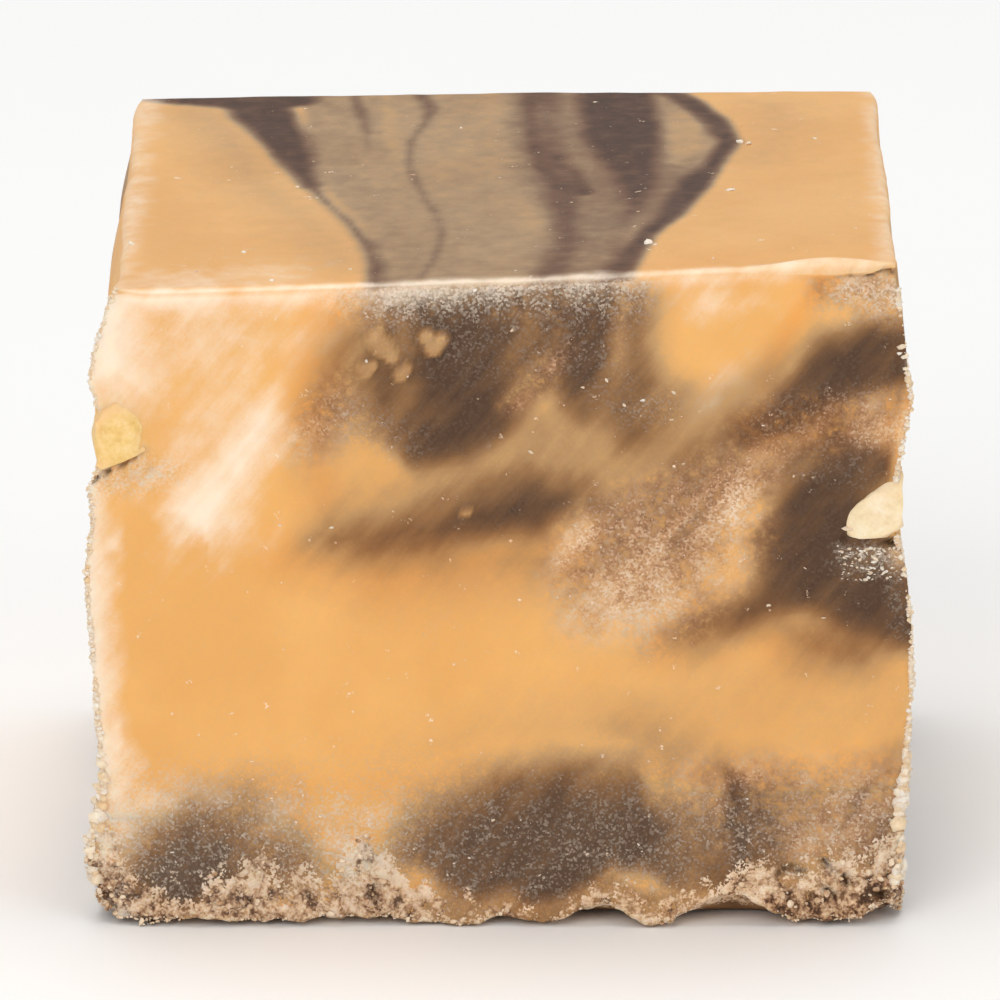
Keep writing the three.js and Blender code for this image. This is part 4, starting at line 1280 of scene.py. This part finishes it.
# %% Colours from caramel to chocolate, of the cut and of the wiped top, and those of paste and crust
CUT_MIXTURE = [
    (0.0, (237, 179, 104)),
    (0.18, (220, 168, 104)),
    (0.36, (190, 149, 99)),
    (0.55, (154, 112, 69)),
    (0.75, (120, 84, 50)),
    (0.9, (98, 68, 42)),
    (1.0, (82, 56, 36)),
]
SKIN_MIXTURE = [
    (0.0, (233, 179, 114)),
    (0.34, (172, 141, 106)),
    (0.5, (140, 111, 84)),
    (0.7, (114, 82, 60)),
    (0.9, (87, 59, 42)),
    (1.0, (75, 51, 36)),
]
PASTE = [
    (0.08, (96, 66, 46)),
    (0.2, (124, 88, 62)),
    (0.36, (166, 120, 84)),
    (0.5, (206, 158, 114)),
    (0.64, (226, 184, 141)),
    (0.8, (242, 212, 178)),
]
# the darkest crust tones are partly painted shade in the gaps and pits
CRUST_TONES_AND_SHADE = [
    (0.16, (82, 56, 40)),
    (0.28, (128, 92, 66)),
    (0.4, (190, 150, 114)),
    (0.54, (228, 194, 158)),
    (0.72, (247, 222, 194)),
]


def crust_colour(r, crumb, coarse, grain):
    """Cream crumbs with dark brown in the gaps and pits, which is partly painted shade."""
    tone = r.add(r.scale(crumb, 0.55), r.add(r.about(grain, 0.2), r.about(coarse, 1.3)))
    return r.colours(r.add(tone, 0.18), CRUST_TONES_AND_SHADE)


# %% Noises at the sizes of crystals, grains, clumps and the knife's marks
KNIFE_TURN = (0, -0.7, 0)


def add_noises(r):
    """Noises that several steps share, each kept on the recipe under its own name."""
    r.crystals = r.noise(0.08, detail=1.0)
    r.grit = r.noise(0.12, detail=1.0, roughness=0.5)
    r.grain = r.grains(0.085)
    r.coarse = r.noise(0.45, detail=2.0, roughness=0.6)
    r.clumps = r.noise(0.8, detail=4.0, roughness=0.6)
    r.patches = r.noise(2.4, detail=2.0)
    r.clouds = r.noise(6.0, detail=3.0)
    r.drags = r.noise(place=r.stretch(0.6, 1.0, 4.5, KNIFE_TURN), detail=3.0)
    r.wipes = r.noise(place=r.stretch(9.0, 0.22, 4.0), detail=3.0, roughness=0.6)


# %% The mixture: cloudy at its edges, sandy where the knife tore it or where sugar lies
CLOUD_DARK = (0.96, 0.93, 0.9, 1)
CLOUD_PALE = (1.02, 1.03, 1.05, 1)


def mixture_colour(r):
    cocoa, skin, torn, grains = r.read("cocoa", "top_skin", "torn", "grains")
    cloudy = r.about(r.clumps, r.sum((torn, 0.5), (cocoa, 0.16), (None, 0.08)))
    cloudy = r.add(cloudy, r.about(r.drags, r.sum((cocoa, 0.5), (torn, 0.2), (None, 0.06))))
    sandy = r.about(r.grain, r.scale(r.sum((torn, 0.7), (grains, 0.6), (None, 0.02)), 0.5))
    sandy = r.add(sandy, r.about(r.coarse, r.scale(r.sum((torn, 0.9), (grains, 0.4)), 1.4)))
    mixture = r.add(r.add(cocoa, cloudy), sandy)
    colour = r.blend(skin, r.colours(mixture, CUT_MIXTURE), r.colours(mixture, SKIN_MIXTURE))
    return r.times(1.0, colour, r.blend(r.fade(r.clouds, 0.35, 0.65), CLOUD_DARK, CLOUD_PALE))


# %% Torn paste and crust over the mixture
def add_paste_and_crust(r, colour):
    cocoa, torn, crust, crumb = r.read("cocoa", "torn", "crust", "crumb")
    streaky = r.add(r.scale(r.drags, 0.5), r.scale(r.patches, 0.5))
    tone = r.add(r.about(streaky, 0.8), r.add(r.about(r.clumps, 0.5), r.about(r.grain, 0.22)))
    tone = r.math("SUBTRACT", r.add(tone, 0.76), r.scale(cocoa, 0.72))
    share = r.fade(r.add(streaky, r.about(r.coarse, 0.6)), 0.4, 0.6, 0.45, 1.0)
    colour = r.blend(r.scale(torn, share), colour, r.colours(tone, PASTE))
    broken = r.add(r.about(r.clumps, 1.5), r.add(r.about(r.coarse, 0.9), r.about(r.grain, 0.4)))
    share = r.fade(r.add(crust, broken), 0.4, 0.6)
    return r.blend(share, colour, crust_colour(r, crumb, r.coarse, r.grain))


# %% Sugar and painted highlights: soft cloudy smears along the knife's path, and pale grit; then amber films with a painted glow, and cracks with painted shade
SUGAR_AND_HIGHLIGHT_WHITE = tint(255, 238, 216)
SUGAR_COVER = 0.88
GRAIN_PALE = tint(214, 196, 176)
GRAIN_DUST = tint(146, 132, 116)
AMBER = (1.0, 0.8, 0.54, 1)
# painted shade in the cracks, the pits and the line under the lip
CRACK_SHADE = tint(74, 44, 18)


def add_sugar(r, colour):
    sugar, torn, grains = r.read("sugar", "torn", "grains")
    streaky = r.add(r.about(r.drags, 0.5), r.about(r.patches, 0.55))
    smear = r.add(r.add(sugar, r.about(r.clumps, 0.3)), streaky)
    smear = r.add(smear, r.about(r.grain, r.sum((grains, 0.3), (torn, 0.2), (None, 0.03))))
    # white of the sugar, and of the painted highlights along the edges and the painted sheen on the top
    colour = r.blend(r.scale(r.fade(smear, 0.12, 1.0), SUGAR_COVER), colour, SUGAR_AND_HIGHLIGHT_WHITE)
    grainy = r.scale(grains, r.fade(r.clumps, 0.35, 0.6, 0.45, 1.0))
    colour = r.blend(r.scale(r.scale(grainy, grains), 0.22), colour, GRAIN_DUST)
    speck = r.fade(r.add(r.grain, r.about(r.coarse, 0.8)), 0.5, 1.0)
    colour = r.blend(r.scale(r.scale(speck, grainy), 0.52), colour, GRAIN_PALE)
    # amber films, and the painted glow of caramel behind the top's front edge
    colour = r.times(r.number("amber"), colour, AMBER)
    # painted shade in the cracks and pits
    return r.blend(r.number("crack_and_shade"), colour, CRACK_SHADE)


# %% Relief finer than the mesh
def fine_relief(r):
    skin, torn, grains, crust = r.read("top_skin", "torn", "grains", "crust")
    normal = r.bumps(r.clumps, 0.2, r.sum((torn, 0.9), (crust, 1.0), (None, 0.08)))
    normal = r.bumps(r.coarse, 0.12, r.sum((torn, 0.6), (crust, 0.8), (grains, 0.15)), normal)
    rough = r.sum((torn, 0.5), (crust, 0.7), (grains, 0.6), (None, 0.06))
    normal = r.bumps(r.grit, 0.08, rough, normal)
    rough = r.sum((torn, 0.3), (crust, 0.3), (grains, 0.4), (None, 0.1))
    normal = r.bumps(r.crystals, 0.04, rough, normal)
    return r.bumps(r.wipes, 0.03, r.scale(skin, 0.55), normal)


# %% The whole finish: the wiped top shines softly, sugar and torn paste hardly at all
def fudge_finish(name):
    r = Recipe(name)
    add_noises(r)
    colour = add_sugar(r, add_paste_and_crust(r, mixture_colour(r)))
    r.put(r.shader.inputs["Base Color"], colour)
    skin, sugar, torn, crust = r.read("top_skin", "sugar", "torn", "crust")
    dull = r.sum((torn, 0.25), (sugar, 0.2), (crust, 0.35), (skin, -0.14), (r.clumps, 0.1), (None, 0.5))
    r.put(r.shader.inputs["Roughness"], dull)
    r.shader.inputs["IOR"].default_value = 1.46
    r.shader.inputs["Specular IOR Level"].default_value = 0.32
    r.soft_inside(0.3, (1.0, 0.5, 0.22), 0.9)
    r.put(r.shader.inputs["Normal"], fine_relief(r))
    return r.material


fudge = fudge_finish("marbled fudge")
print("nodes in the fudge finish:", len(fudge.node_tree.nodes))


# %% Build the caramel body and the chocolate base
skins = []


def build_layer(name, node, heights, rows, hidden_face):
    """One layer of the block, dressed with everything that its surface needs."""
    points, faces, ring = layer_skin(*heights, rows, hidden_face)
    surface = surface_at(*points.T)
    raised = relief(points, surface) - SOCKET_DEPTH * nut_sockets(points)
    points = points + outward(points, faces) * raised[:, None]
    if hidden_face == "low":
        points = round_top_edge(points)
    points[:, 2] = np.maximum(points[:, 2], 0)
    skins.append(BVHTree.FromPolygons(points.tolist(), faces))
    piece = make_mesh(name, points, faces, fudge, surface, ring)
    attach(piece, "root")
    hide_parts(node)
    triangles = sum(len(f) - 2 for f in faces)
    print(name, "has", len(points), "vertices and", triangles, "triangles")


build_layer("caramel_layer", "caramel_body", (layer_height, top_height), BODY_ROWS, "low")
build_layer(
    "chocolate_layer", "chocolate_base", (underside_height, layer_height), BASE_ROWS, "high"
)

# %% The finish of a nut
NUT_FLESH = [(0.3, (232, 205, 160)), (0.5, (244, 222, 184)), (0.7, (251, 236, 210))]
NUT_OILY = [(0.3, (226, 180, 98)), (0.5, (242, 204, 132)), (0.7, (251, 226, 172))]


def nut_finish(name, stops, stuck, rim_start):
    """Nut flesh; `stuck` is how much caramel sticks to its rim, from `rim_start` outwards."""
    r = Recipe(name)
    grain = r.noise(0.7, detail=4.0, roughness=0.6)
    flecks = r.noise(0.14, detail=2.0)
    tone = r.add(r.scale(grain, 0.7), r.scale(flecks, 0.3))
    colour = r.colours(tone, stops)
    rim = r.fade(r.add(r.number("reach"), r.about(grain, 0.9)), rim_start, 0.95, 0.0, stuck)
    r.put(r.shader.inputs["Base Color"], r.blend(rim, colour, tint(246, 200, 144)))
    r.put(r.shader.inputs["Roughness"], r.fade(grain, 0.3, 0.7, 0.45, 0.65))
    r.shader.inputs["IOR"].default_value = 1.47
    r.shader.inputs["Specular IOR Level"].default_value = 0.35
    r.soft_inside(0.25, (1.0, 0.7, 0.4), 0.6)
    normal = r.bumps(grain, 0.1, 0.6)
    r.put(r.shader.inputs["Normal"], r.bumps(flecks, 0.03, 0.6, normal))
    return r.material


pale_nut = nut_finish("pale nut", NUT_FLESH, 0.25, 0.6)
oily_nut = nut_finish("oily nut", NUT_OILY, 0.9, 0.1)


# %% A round ball to start from
def ball(subdivisions):
    """Points and triangles of a round ball of radius 1, as a start for lumps and crumbs."""
    mesh = bpy.data.meshes.new("ball")
    build = bmesh.new()
    bmesh.ops.create_icosphere(build, subdivisions=subdivisions, radius=1)
    build.to_mesh(mesh)
    build.free()
    points = np.empty(3 * len(mesh.vertices))
    mesh.vertices.foreach_get("co", points)
    faces = np.array([list(p.vertices) for p in mesh.polygons])
    bpy.data.meshes.remove(mesh)
    return points.reshape(-1, 3), faces


# %% Shape the nuts
def build_nut(node, nut, finish):
    """A lump of nut with a cut foot, trimmed level with the walls that it touches."""
    points, faces = ball(6)
    x, y, z = points.T
    size = 1 + 0.16 * lumps(x, y, z, 1.2, 81 + nut["turn"], 1) + 0.1 * lumps(x, y, z, 0.5, 83)
    foot = -nut["foot"] + nut.get("rise", 0) * x + 0.06 * lumps(x, y, z, 0.4, 84)
    x, y, z = (x + nut["slant"] * z) * size, y * size, np.maximum(z * size, foot)
    points = np.stack([x, y, z], -1) * np.array(nut["radii"])
    points = turned(points, NUT_TURN * nut["turn"]) + np.array(nut["at"])
    reach = np.ones(len(points))
    grain = NUT_PROUD * lumps(*points.T, 0.9, 85)
    for wall in nut["cut"]:
        axis, side = SIDES[wall]
        plane = HALVES[axis] + wall_out(wall, points[:, 1 - axis], points[:, 2]) + grain
        beyond = np.maximum(side * points[:, axis] - plane, 0)
        plane = plane + nut.get("dome", 0) * (smooth(0, 1, beyond / beyond.max()) - 0.4)
        trimmed = side * np.minimum(side * points[:, axis], plane)
        cut_off = np.abs(trimmed - points[:, axis])
        reach = reach - cut_off / cut_off.max()
        points[:, axis] = trimmed
    piece = make_mesh(node + "_piece", points, faces.tolist(), finish, {"reach": reach})
    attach(piece, "root")
    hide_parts(node)


for node, nut in NUTS.items():
    build_nut(node, nut, oily_nut if node == "nut_left" else pale_nut)
print("nuts cut:", len(NUTS))

# %% [markdown]
# ## Crumbs and sugar
#
# Along the crust the fudge breaks into crumbs, and the knife leaves a fin of sugary crumbs on the
# upright edges. Particles would scatter them quickly, but they wouldn't survive an export, so each
# kind is one joined mesh, made from arrays: a small ball is copied, dented and turned for each crumb.
# A crumb that would hang in the air, at a chipped corner for one, is set down on the block first.

# %% Many dented balls as one mesh
def dented_balls(middles, sizes, seed, subdivisions, flat=0.8):
    """One mesh of rough crumbs; its third result is a number from 0 to 1 for each crumb's tone."""
    rng = np.random.default_rng(seed)
    shape, faces = ball(subdivisions)
    count, corners = len(middles), len(shape)
    stretch = rng.uniform(0.6, 1.4, (count, 1, 3)) * np.array([1, 1, flat])
    own = shape[None] + rng.uniform(0, 40, (count, 1, 3))
    dents = 1 + 0.5 * lumps(*np.moveaxis(own, -1, 0), 1.1, 87) + rng.uniform(-0.2, 0.2, (count, corners))
    crumbs = shape[None] * dents[..., None] * stretch * np.asarray(sizes)[:, None, None]
    angle = rng.uniform(0, 2 * np.pi, (count, 1))
    tilt = rng.uniform(-0.8, 0.8, (count, 1))
    x, y, z = np.moveaxis(crumbs, -1, 0)
    y, z = y * np.cos(tilt) - z * np.sin(tilt), y * np.sin(tilt) + z * np.cos(tilt)
    x, y = x * np.cos(angle) - y * np.sin(angle), x * np.sin(angle) + y * np.cos(angle)
    crumbs = np.stack([x, y, z], -1) + np.asarray(middles)[:, None]
    lowest = crumbs[..., 2].min(1)
    crumbs[..., 2] += np.maximum(0, 0.02 - lowest)[:, None]
    all_faces = (faces[None] + corners * np.arange(count)[:, None, None]).reshape(-1, 3)
    tones = np.repeat(rng.uniform(0, 1, count), corners)
    return crumbs.reshape(-1, 3), all_faces.tolist(), tones


# %% A place on a wall
def on_wall(wall, along, z, sunk):
    """Points on a wall of the hand-cut block, `sunk` millimetres under its surface."""
    axis, side = SIDES[wall]
    across = np.full(len(along), side * HALVES[axis])
    plain = (along, across, z) if axis == 1 else (across, along, z)
    points = np.stack(block_point(*plain), -1)
    points[:, axis] -= side * sunk
    return points


# %% Small crumbs, thickest where the heaps are
def small_crumbs(seed, count):
    """Middles and sizes of up to `count` crumbs on the front, and fewer on the other walls."""
    rng = np.random.default_rng(seed)
    middles = []
    for wall in WALLS:
        share = count if wall == "front" else int(count * 0.8)
        length = half_length(wall)
        along = rng.uniform(-length - 0.3, length + 0.3, share * 4)
        low = rim_height(wall, along)
        reach = np.maximum(crust_top(wall, along) + 0.15 - low, 0.25)
        z = low + rng.uniform(0, 1, share * 4) * reach
        keep = rng.uniform(0, 1, share * 4) < 0.4 * (reach - 0.3)
        chosen = np.flatnonzero(keep)[:share]
        middles.append(on_wall(wall, along[chosen], z[chosen], 0.0))
    middles = np.concatenate(middles)
    sizes = 0.04 + 0.11 * rng.uniform(0, 1, len(middles)) ** 2
    return middles, sizes


# %% Fine grains along the lower edge
def lip_grains(seed, count):
    """Middles and sizes of `count` grains on each wall, just above its lower edge."""
    rng = np.random.default_rng(seed)
    middles = []
    for wall in WALLS:
        length = half_length(wall)
        along = rng.uniform(-length, length, count)
        z = rim_height(wall, along) + 0.25 * rng.uniform(0, 1, count) ** 2
        middles.append(on_wall(wall, along, z, rng.uniform(-0.02, 0.1, count)))
    middles = np.concatenate(middles)
    return middles, 0.03 + 0.05 * rng.uniform(0, 1, len(middles)) ** 2


# %% The sugary fin on the upright edges
FIN_START = 1.7
FIN_HEIGHT = 23.7


def edge_crumbs(seed, count):
    """Middles and sizes of the crumbs, larger and wider spread at the foot, and none over a nut."""
    rng = np.random.default_rng(seed)
    corners = [("left", -1), ("right", -1), ("left", 1), ("right", 1)]
    middles, sizes = [], []
    for wall, end in corners:
        share = count if end < 0 else count // 3
        z = FIN_START + FIN_HEIGHT * rng.uniform(0, 1, share * 3) ** 1.2
        clustered = 0.5 + 0.5 * wave(z / 0.9, WALLS.index(wall) + 90)
        z = z[rng.uniform(0, 1, share * 3) < clustered][:share]
        along = end * (HALF_Y - np.abs(rng.normal(0, mix(0.5, 0.16, smooth(2, 7, z)))))
        middles.append(on_wall(wall, along, z, rng.uniform(0.0, 0.08, len(z))))
        sizes.append(0.045 + 0.1 * rng.uniform(0, 1, len(z)) ** 3 * (1 + 2.0 * (1 - smooth(4, 9, z))))
    middles, sizes = np.concatenate(middles), np.concatenate(sizes)
    beside = nut_sockets(middles) < 0.02
    return middles[beside], sizes[beside]


# %% Loose sugar on the dark parts of the front, and a few flecks on the top: place, then radius
PEBBLES = [
    (1.0, 19.0, 0.1), (-1.6, 16.6, 0.12), (-8.7, 16.1, 0.07), (-6.7, 16.0, 0.08), (-5.3, 22.4, 0.09),
    (-4.9, 22.6, 0.08), (-3.9, 22.2, 0.1), (3.0, 21.6, 0.1), (3.9, 21.9, 0.11), (4.6, 20.9, 0.1),
    (5.3, 21.1, 0.08), (6.5, 21.4, 0.12), (14.85, 23.15, 0.2), (14.95, 22.8, 0.17), (14.75, 22.9, 0.14),
    (13.1, 16.0, 0.18), (10.2, 12.9, 0.1), (12.3, 12.4, 0.1), (11.6, 14.4, 0.08), (13.5, 15.1, 0.1),
    (13.9, 14.8, 0.12), (14.3, 15.1, 0.09), (14.8, 14.8, 0.12), (13.2, 14.6, 0.08), (14.5, 14.4, 0.09),
    (14.9, 14.1, 0.1),
]
FLECKS = [
    (9.3, 6.2, 0.3), (9.6, 5.9, 0.2), (8.8, -1.9, 0.25), (5.5, -10.7, 0.26), (5.8, -11.0, 0.16),
    (12.3, 6.5, 0.14), (-8.4, 0.3, 0.14), (-10.2, -9.9, 0.16), (-14.6, -8.2, 0.2), (-12.0, -12.6, 0.1),
    (-6.0, -13.0, 0.1), (-9.0, -14.2, 0.12), (8.0, -13.4, 0.1), (13.6, -9.0, 0.12), (0.4, -14.0, 0.1),
    (-2.0, 9.0, 0.1),
]


# grains that gather in a wedge under the right nut: their number, its corner and its reach
WEDGE_COUNT = 140
WEDGE_CORNER = np.array([12.8, 15.2])
WEDGE_REACH = np.array([2.2, -1.3])


def sugar_specks(seed, count):
    """Middles and sizes of up to `count` scattered grains, the pebbles, the flecks and the wedge."""
    rng = np.random.default_rng(seed)
    x = rng.uniform(-HALF_X, HALF_X, count * 20)
    z = rng.uniform(0.8, 25.6, count * 20)
    wanted = 0.4 * rub_on(x, z, SUGAR_GRAINS) ** 2 * smooth(0.0, 0.5, wave(x / 1.3 + 30, z / 1.3 + 30))
    chosen = np.flatnonzero(rng.uniform(0, 1, count * 20) < wanted)[:count]
    middles = [on_wall("front", x[chosen], z[chosen], 0.01)]
    across, up, pebble = np.array(PEBBLES).T
    middles.append(on_wall("front", across, up, 0.02))
    across, back, fleck = np.array(FLECKS).T
    middles.append(np.stack([across, back, top_height(across, back)], -1))
    wedge = WEDGE_CORNER + rng.uniform(0, 1, (WEDGE_COUNT, 2)) ** [[1.4, 1.6]] * WEDGE_REACH
    middles.append(on_wall("front", wedge[:, 0], wedge[:, 1], 0.02))
    scattered = 0.025 + 0.05 * rng.uniform(0, 1, len(chosen)) ** 3
    gathered = 0.03 + 0.08 * rng.uniform(0, 1, WEDGE_COUNT) ** 2
    return np.concatenate(middles), np.concatenate([scattered, pebble, 0.7 * fleck, gathered])


# %% The finish of crumbs, from white sugar to tan fudge
EDGE_TONES = [(0.2, (236, 196, 150)), (0.45, (248, 222, 188)), (0.8, (254, 242, 226))]
SPECK_TONES = [(0.2, (230, 200, 166)), (0.5, (242, 224, 200)), (0.9, (253, 246, 236))]


def crumb_finish(name, stops=None):
    """Sugar in a row of tones, or the colours of the crust where no row is given."""
    r = Recipe(name)
    grit = r.noise(0.3, detail=3.0, roughness=0.7)
    if stops is None:
        clumps = r.add(r.noise(0.8, detail=4.0, roughness=0.6), r.about(r.number("tone"), 0.2))
        colour = crust_colour(r, 0.72, clumps, grit)
    else:
        tone = r.add(r.scale(r.number("tone"), 0.5), r.scale(grit, 0.5))
        colour = r.colours(tone, stops)
    r.put(r.shader.inputs["Base Color"], colour)
    r.put(r.shader.inputs["Roughness"], r.fade(grit, 0.3, 0.7, 0.7, 0.88))
    r.shader.inputs["Specular IOR Level"].default_value = 0.3
    r.soft_inside(0.2, (1.0, 0.7, 0.4), 0.3)
    r.put(r.shader.inputs["Normal"], r.bumps(grit, 0.1, 0.9))
    return r.material


# %% Set down what would hang in the air
HANG_SHARE = 0.7
HANG_MOST = 0.25


def settled(middles, sizes):
    """Crumbs that would hang off the block are set down on it, half sunk in."""
    middles = middles.copy()
    set_down = 0
    for row, (middle, size) in enumerate(zip(middles, sizes)):
        found = [skin.find_nearest(middle) for skin in skins]
        near, normal, _, away = min(found, key=lambda hit: hit[3])
        outside = (Vector(middle) - near).dot(normal) > 0
        if away > HANG_SHARE * size and (outside or away > HANG_MOST):
            middles[row] = near
            set_down += 1
    print("crumbs set down on the block:", set_down)
    return middles


# %% Build the four kinds
def build_crumbs(name, places, finish, seed, subdivisions, flat=0.8):
    middles, sizes = places
    middles = settled(middles, sizes)
    points, faces, tones = dented_balls(middles, sizes, seed, subdivisions, flat)
    piece = make_mesh(name, points, faces, finish, {"tone": tones})
    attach(piece, "root")
    print(name, "has", len(middles), "pieces and", len(faces), "triangles")


tan_crumb = crumb_finish("tan crumb")
edge_sugar = crumb_finish("edge sugar", EDGE_TONES)
loose_sugar = crumb_finish("loose sugar", SPECK_TONES)
build_crumbs("crust_crumbs", small_crumbs(7, 300), tan_crumb, 11, 2)
build_crumbs("lip_grains", lip_grains(29, 900), tan_crumb, 31, 1)
build_crumbs("edge_crumbs", edge_crumbs(13, 2600), edge_sugar, 17, 1)
build_crumbs("sugar_specks", sugar_specks(19, 260), loose_sugar, 23, 2, 0.5)

# %% [markdown]
# ## The set
#
# A plain pale floor and soft white light from all sides, as for a catalogue picture. The camera
# stands about 40 cm away with a long lens, 15 degrees above the cube.

# %% The floor
FLOOR_HALF = 3000.0


def build_floor():
    r = Recipe("pale floor")
    r.put(r.shader.inputs["Base Color"], r.blend(r.noise(40.0), tint(250, 250, 249), tint(253, 253, 252)))
    r.shader.inputs["Roughness"].default_value = 0.7
    corners = [(x * FLOOR_HALF, y * FLOOR_HALF, 0) for x, y in ((-1, -1), (1, -1), (1, 1), (-1, 1))]
    floor = make_mesh("floor", corners, [[0, 1, 2, 3]], r.material)


build_floor()


# %% The lights
def soft_box(name, place, aim, size, power):
    """A round soft light, in metres and watts, turned to what it lights."""
    light = bpy.data.lights.new(name, "AREA")
    light.shape = "DISK"
    light.size = size
    light.energy = power
    lamp = bpy.data.objects.new(name, light)
    lamp.location = place
    lamp.rotation_euler = (Vector(aim) - Vector(place)).to_track_quat("-Z", "Y").to_euler()
    bpy.context.scene.collection.objects.link(lamp)


CUBE_MIDDLE = (0, 0, 13 * MM)
ROOM_LIGHT = 0.38
soft_box("front light", (-0.3, -0.75, 0.5), CUBE_MIDDLE, 0.6, 3.1)
soft_box("fill light", (0.5, -0.5, 0.25), CUBE_MIDDLE, 0.5, 0.9)
soft_box("top light", (0.0, 0.15, 0.9), CUBE_MIDDLE, 0.8, 4.6)
world = bpy.data.worlds.new("white room")
world.use_nodes = True
world.node_tree.nodes["Background"].inputs["Color"].default_value = (1, 1, 1, 1)
world.node_tree.nodes["Background"].inputs["Strength"].default_value = ROOM_LIGHT
bpy.context.scene.world = world
print("soft lights:", [light.name for light in bpy.data.lights if light.type == "AREA"])
bpy.context.scene.view_settings.view_transform = "Standard"

# %% The camera: places in metres, lens and sensor in millimetres
CAMERA_PLACE = (3.67 * MM, -423.7 * MM, 125.3 * MM)
CAMERA_AIM = (-0.19 * MM, -15.2 * MM, 17.08 * MM)
LENS = 394
SENSOR = 36
FARTHEST = 10
camera_data = bpy.data.cameras.new("camera")
camera_data.lens = LENS
camera_data.sensor_width = SENSOR
camera_data.clip_end = FARTHEST
camera = bpy.data.objects.new("camera", camera_data)
camera.location = CAMERA_PLACE
camera.rotation_euler = (Vector(CAMERA_AIM) - Vector(CAMERA_PLACE)).to_track_quat("-Z", "Y").to_euler()
bpy.context.scene.collection.objects.link(camera)
bpy.context.scene.camera = camera
print("camera's distance in metres:", round((Vector(CAMERA_AIM) - Vector(CAMERA_PLACE)).length, 3))
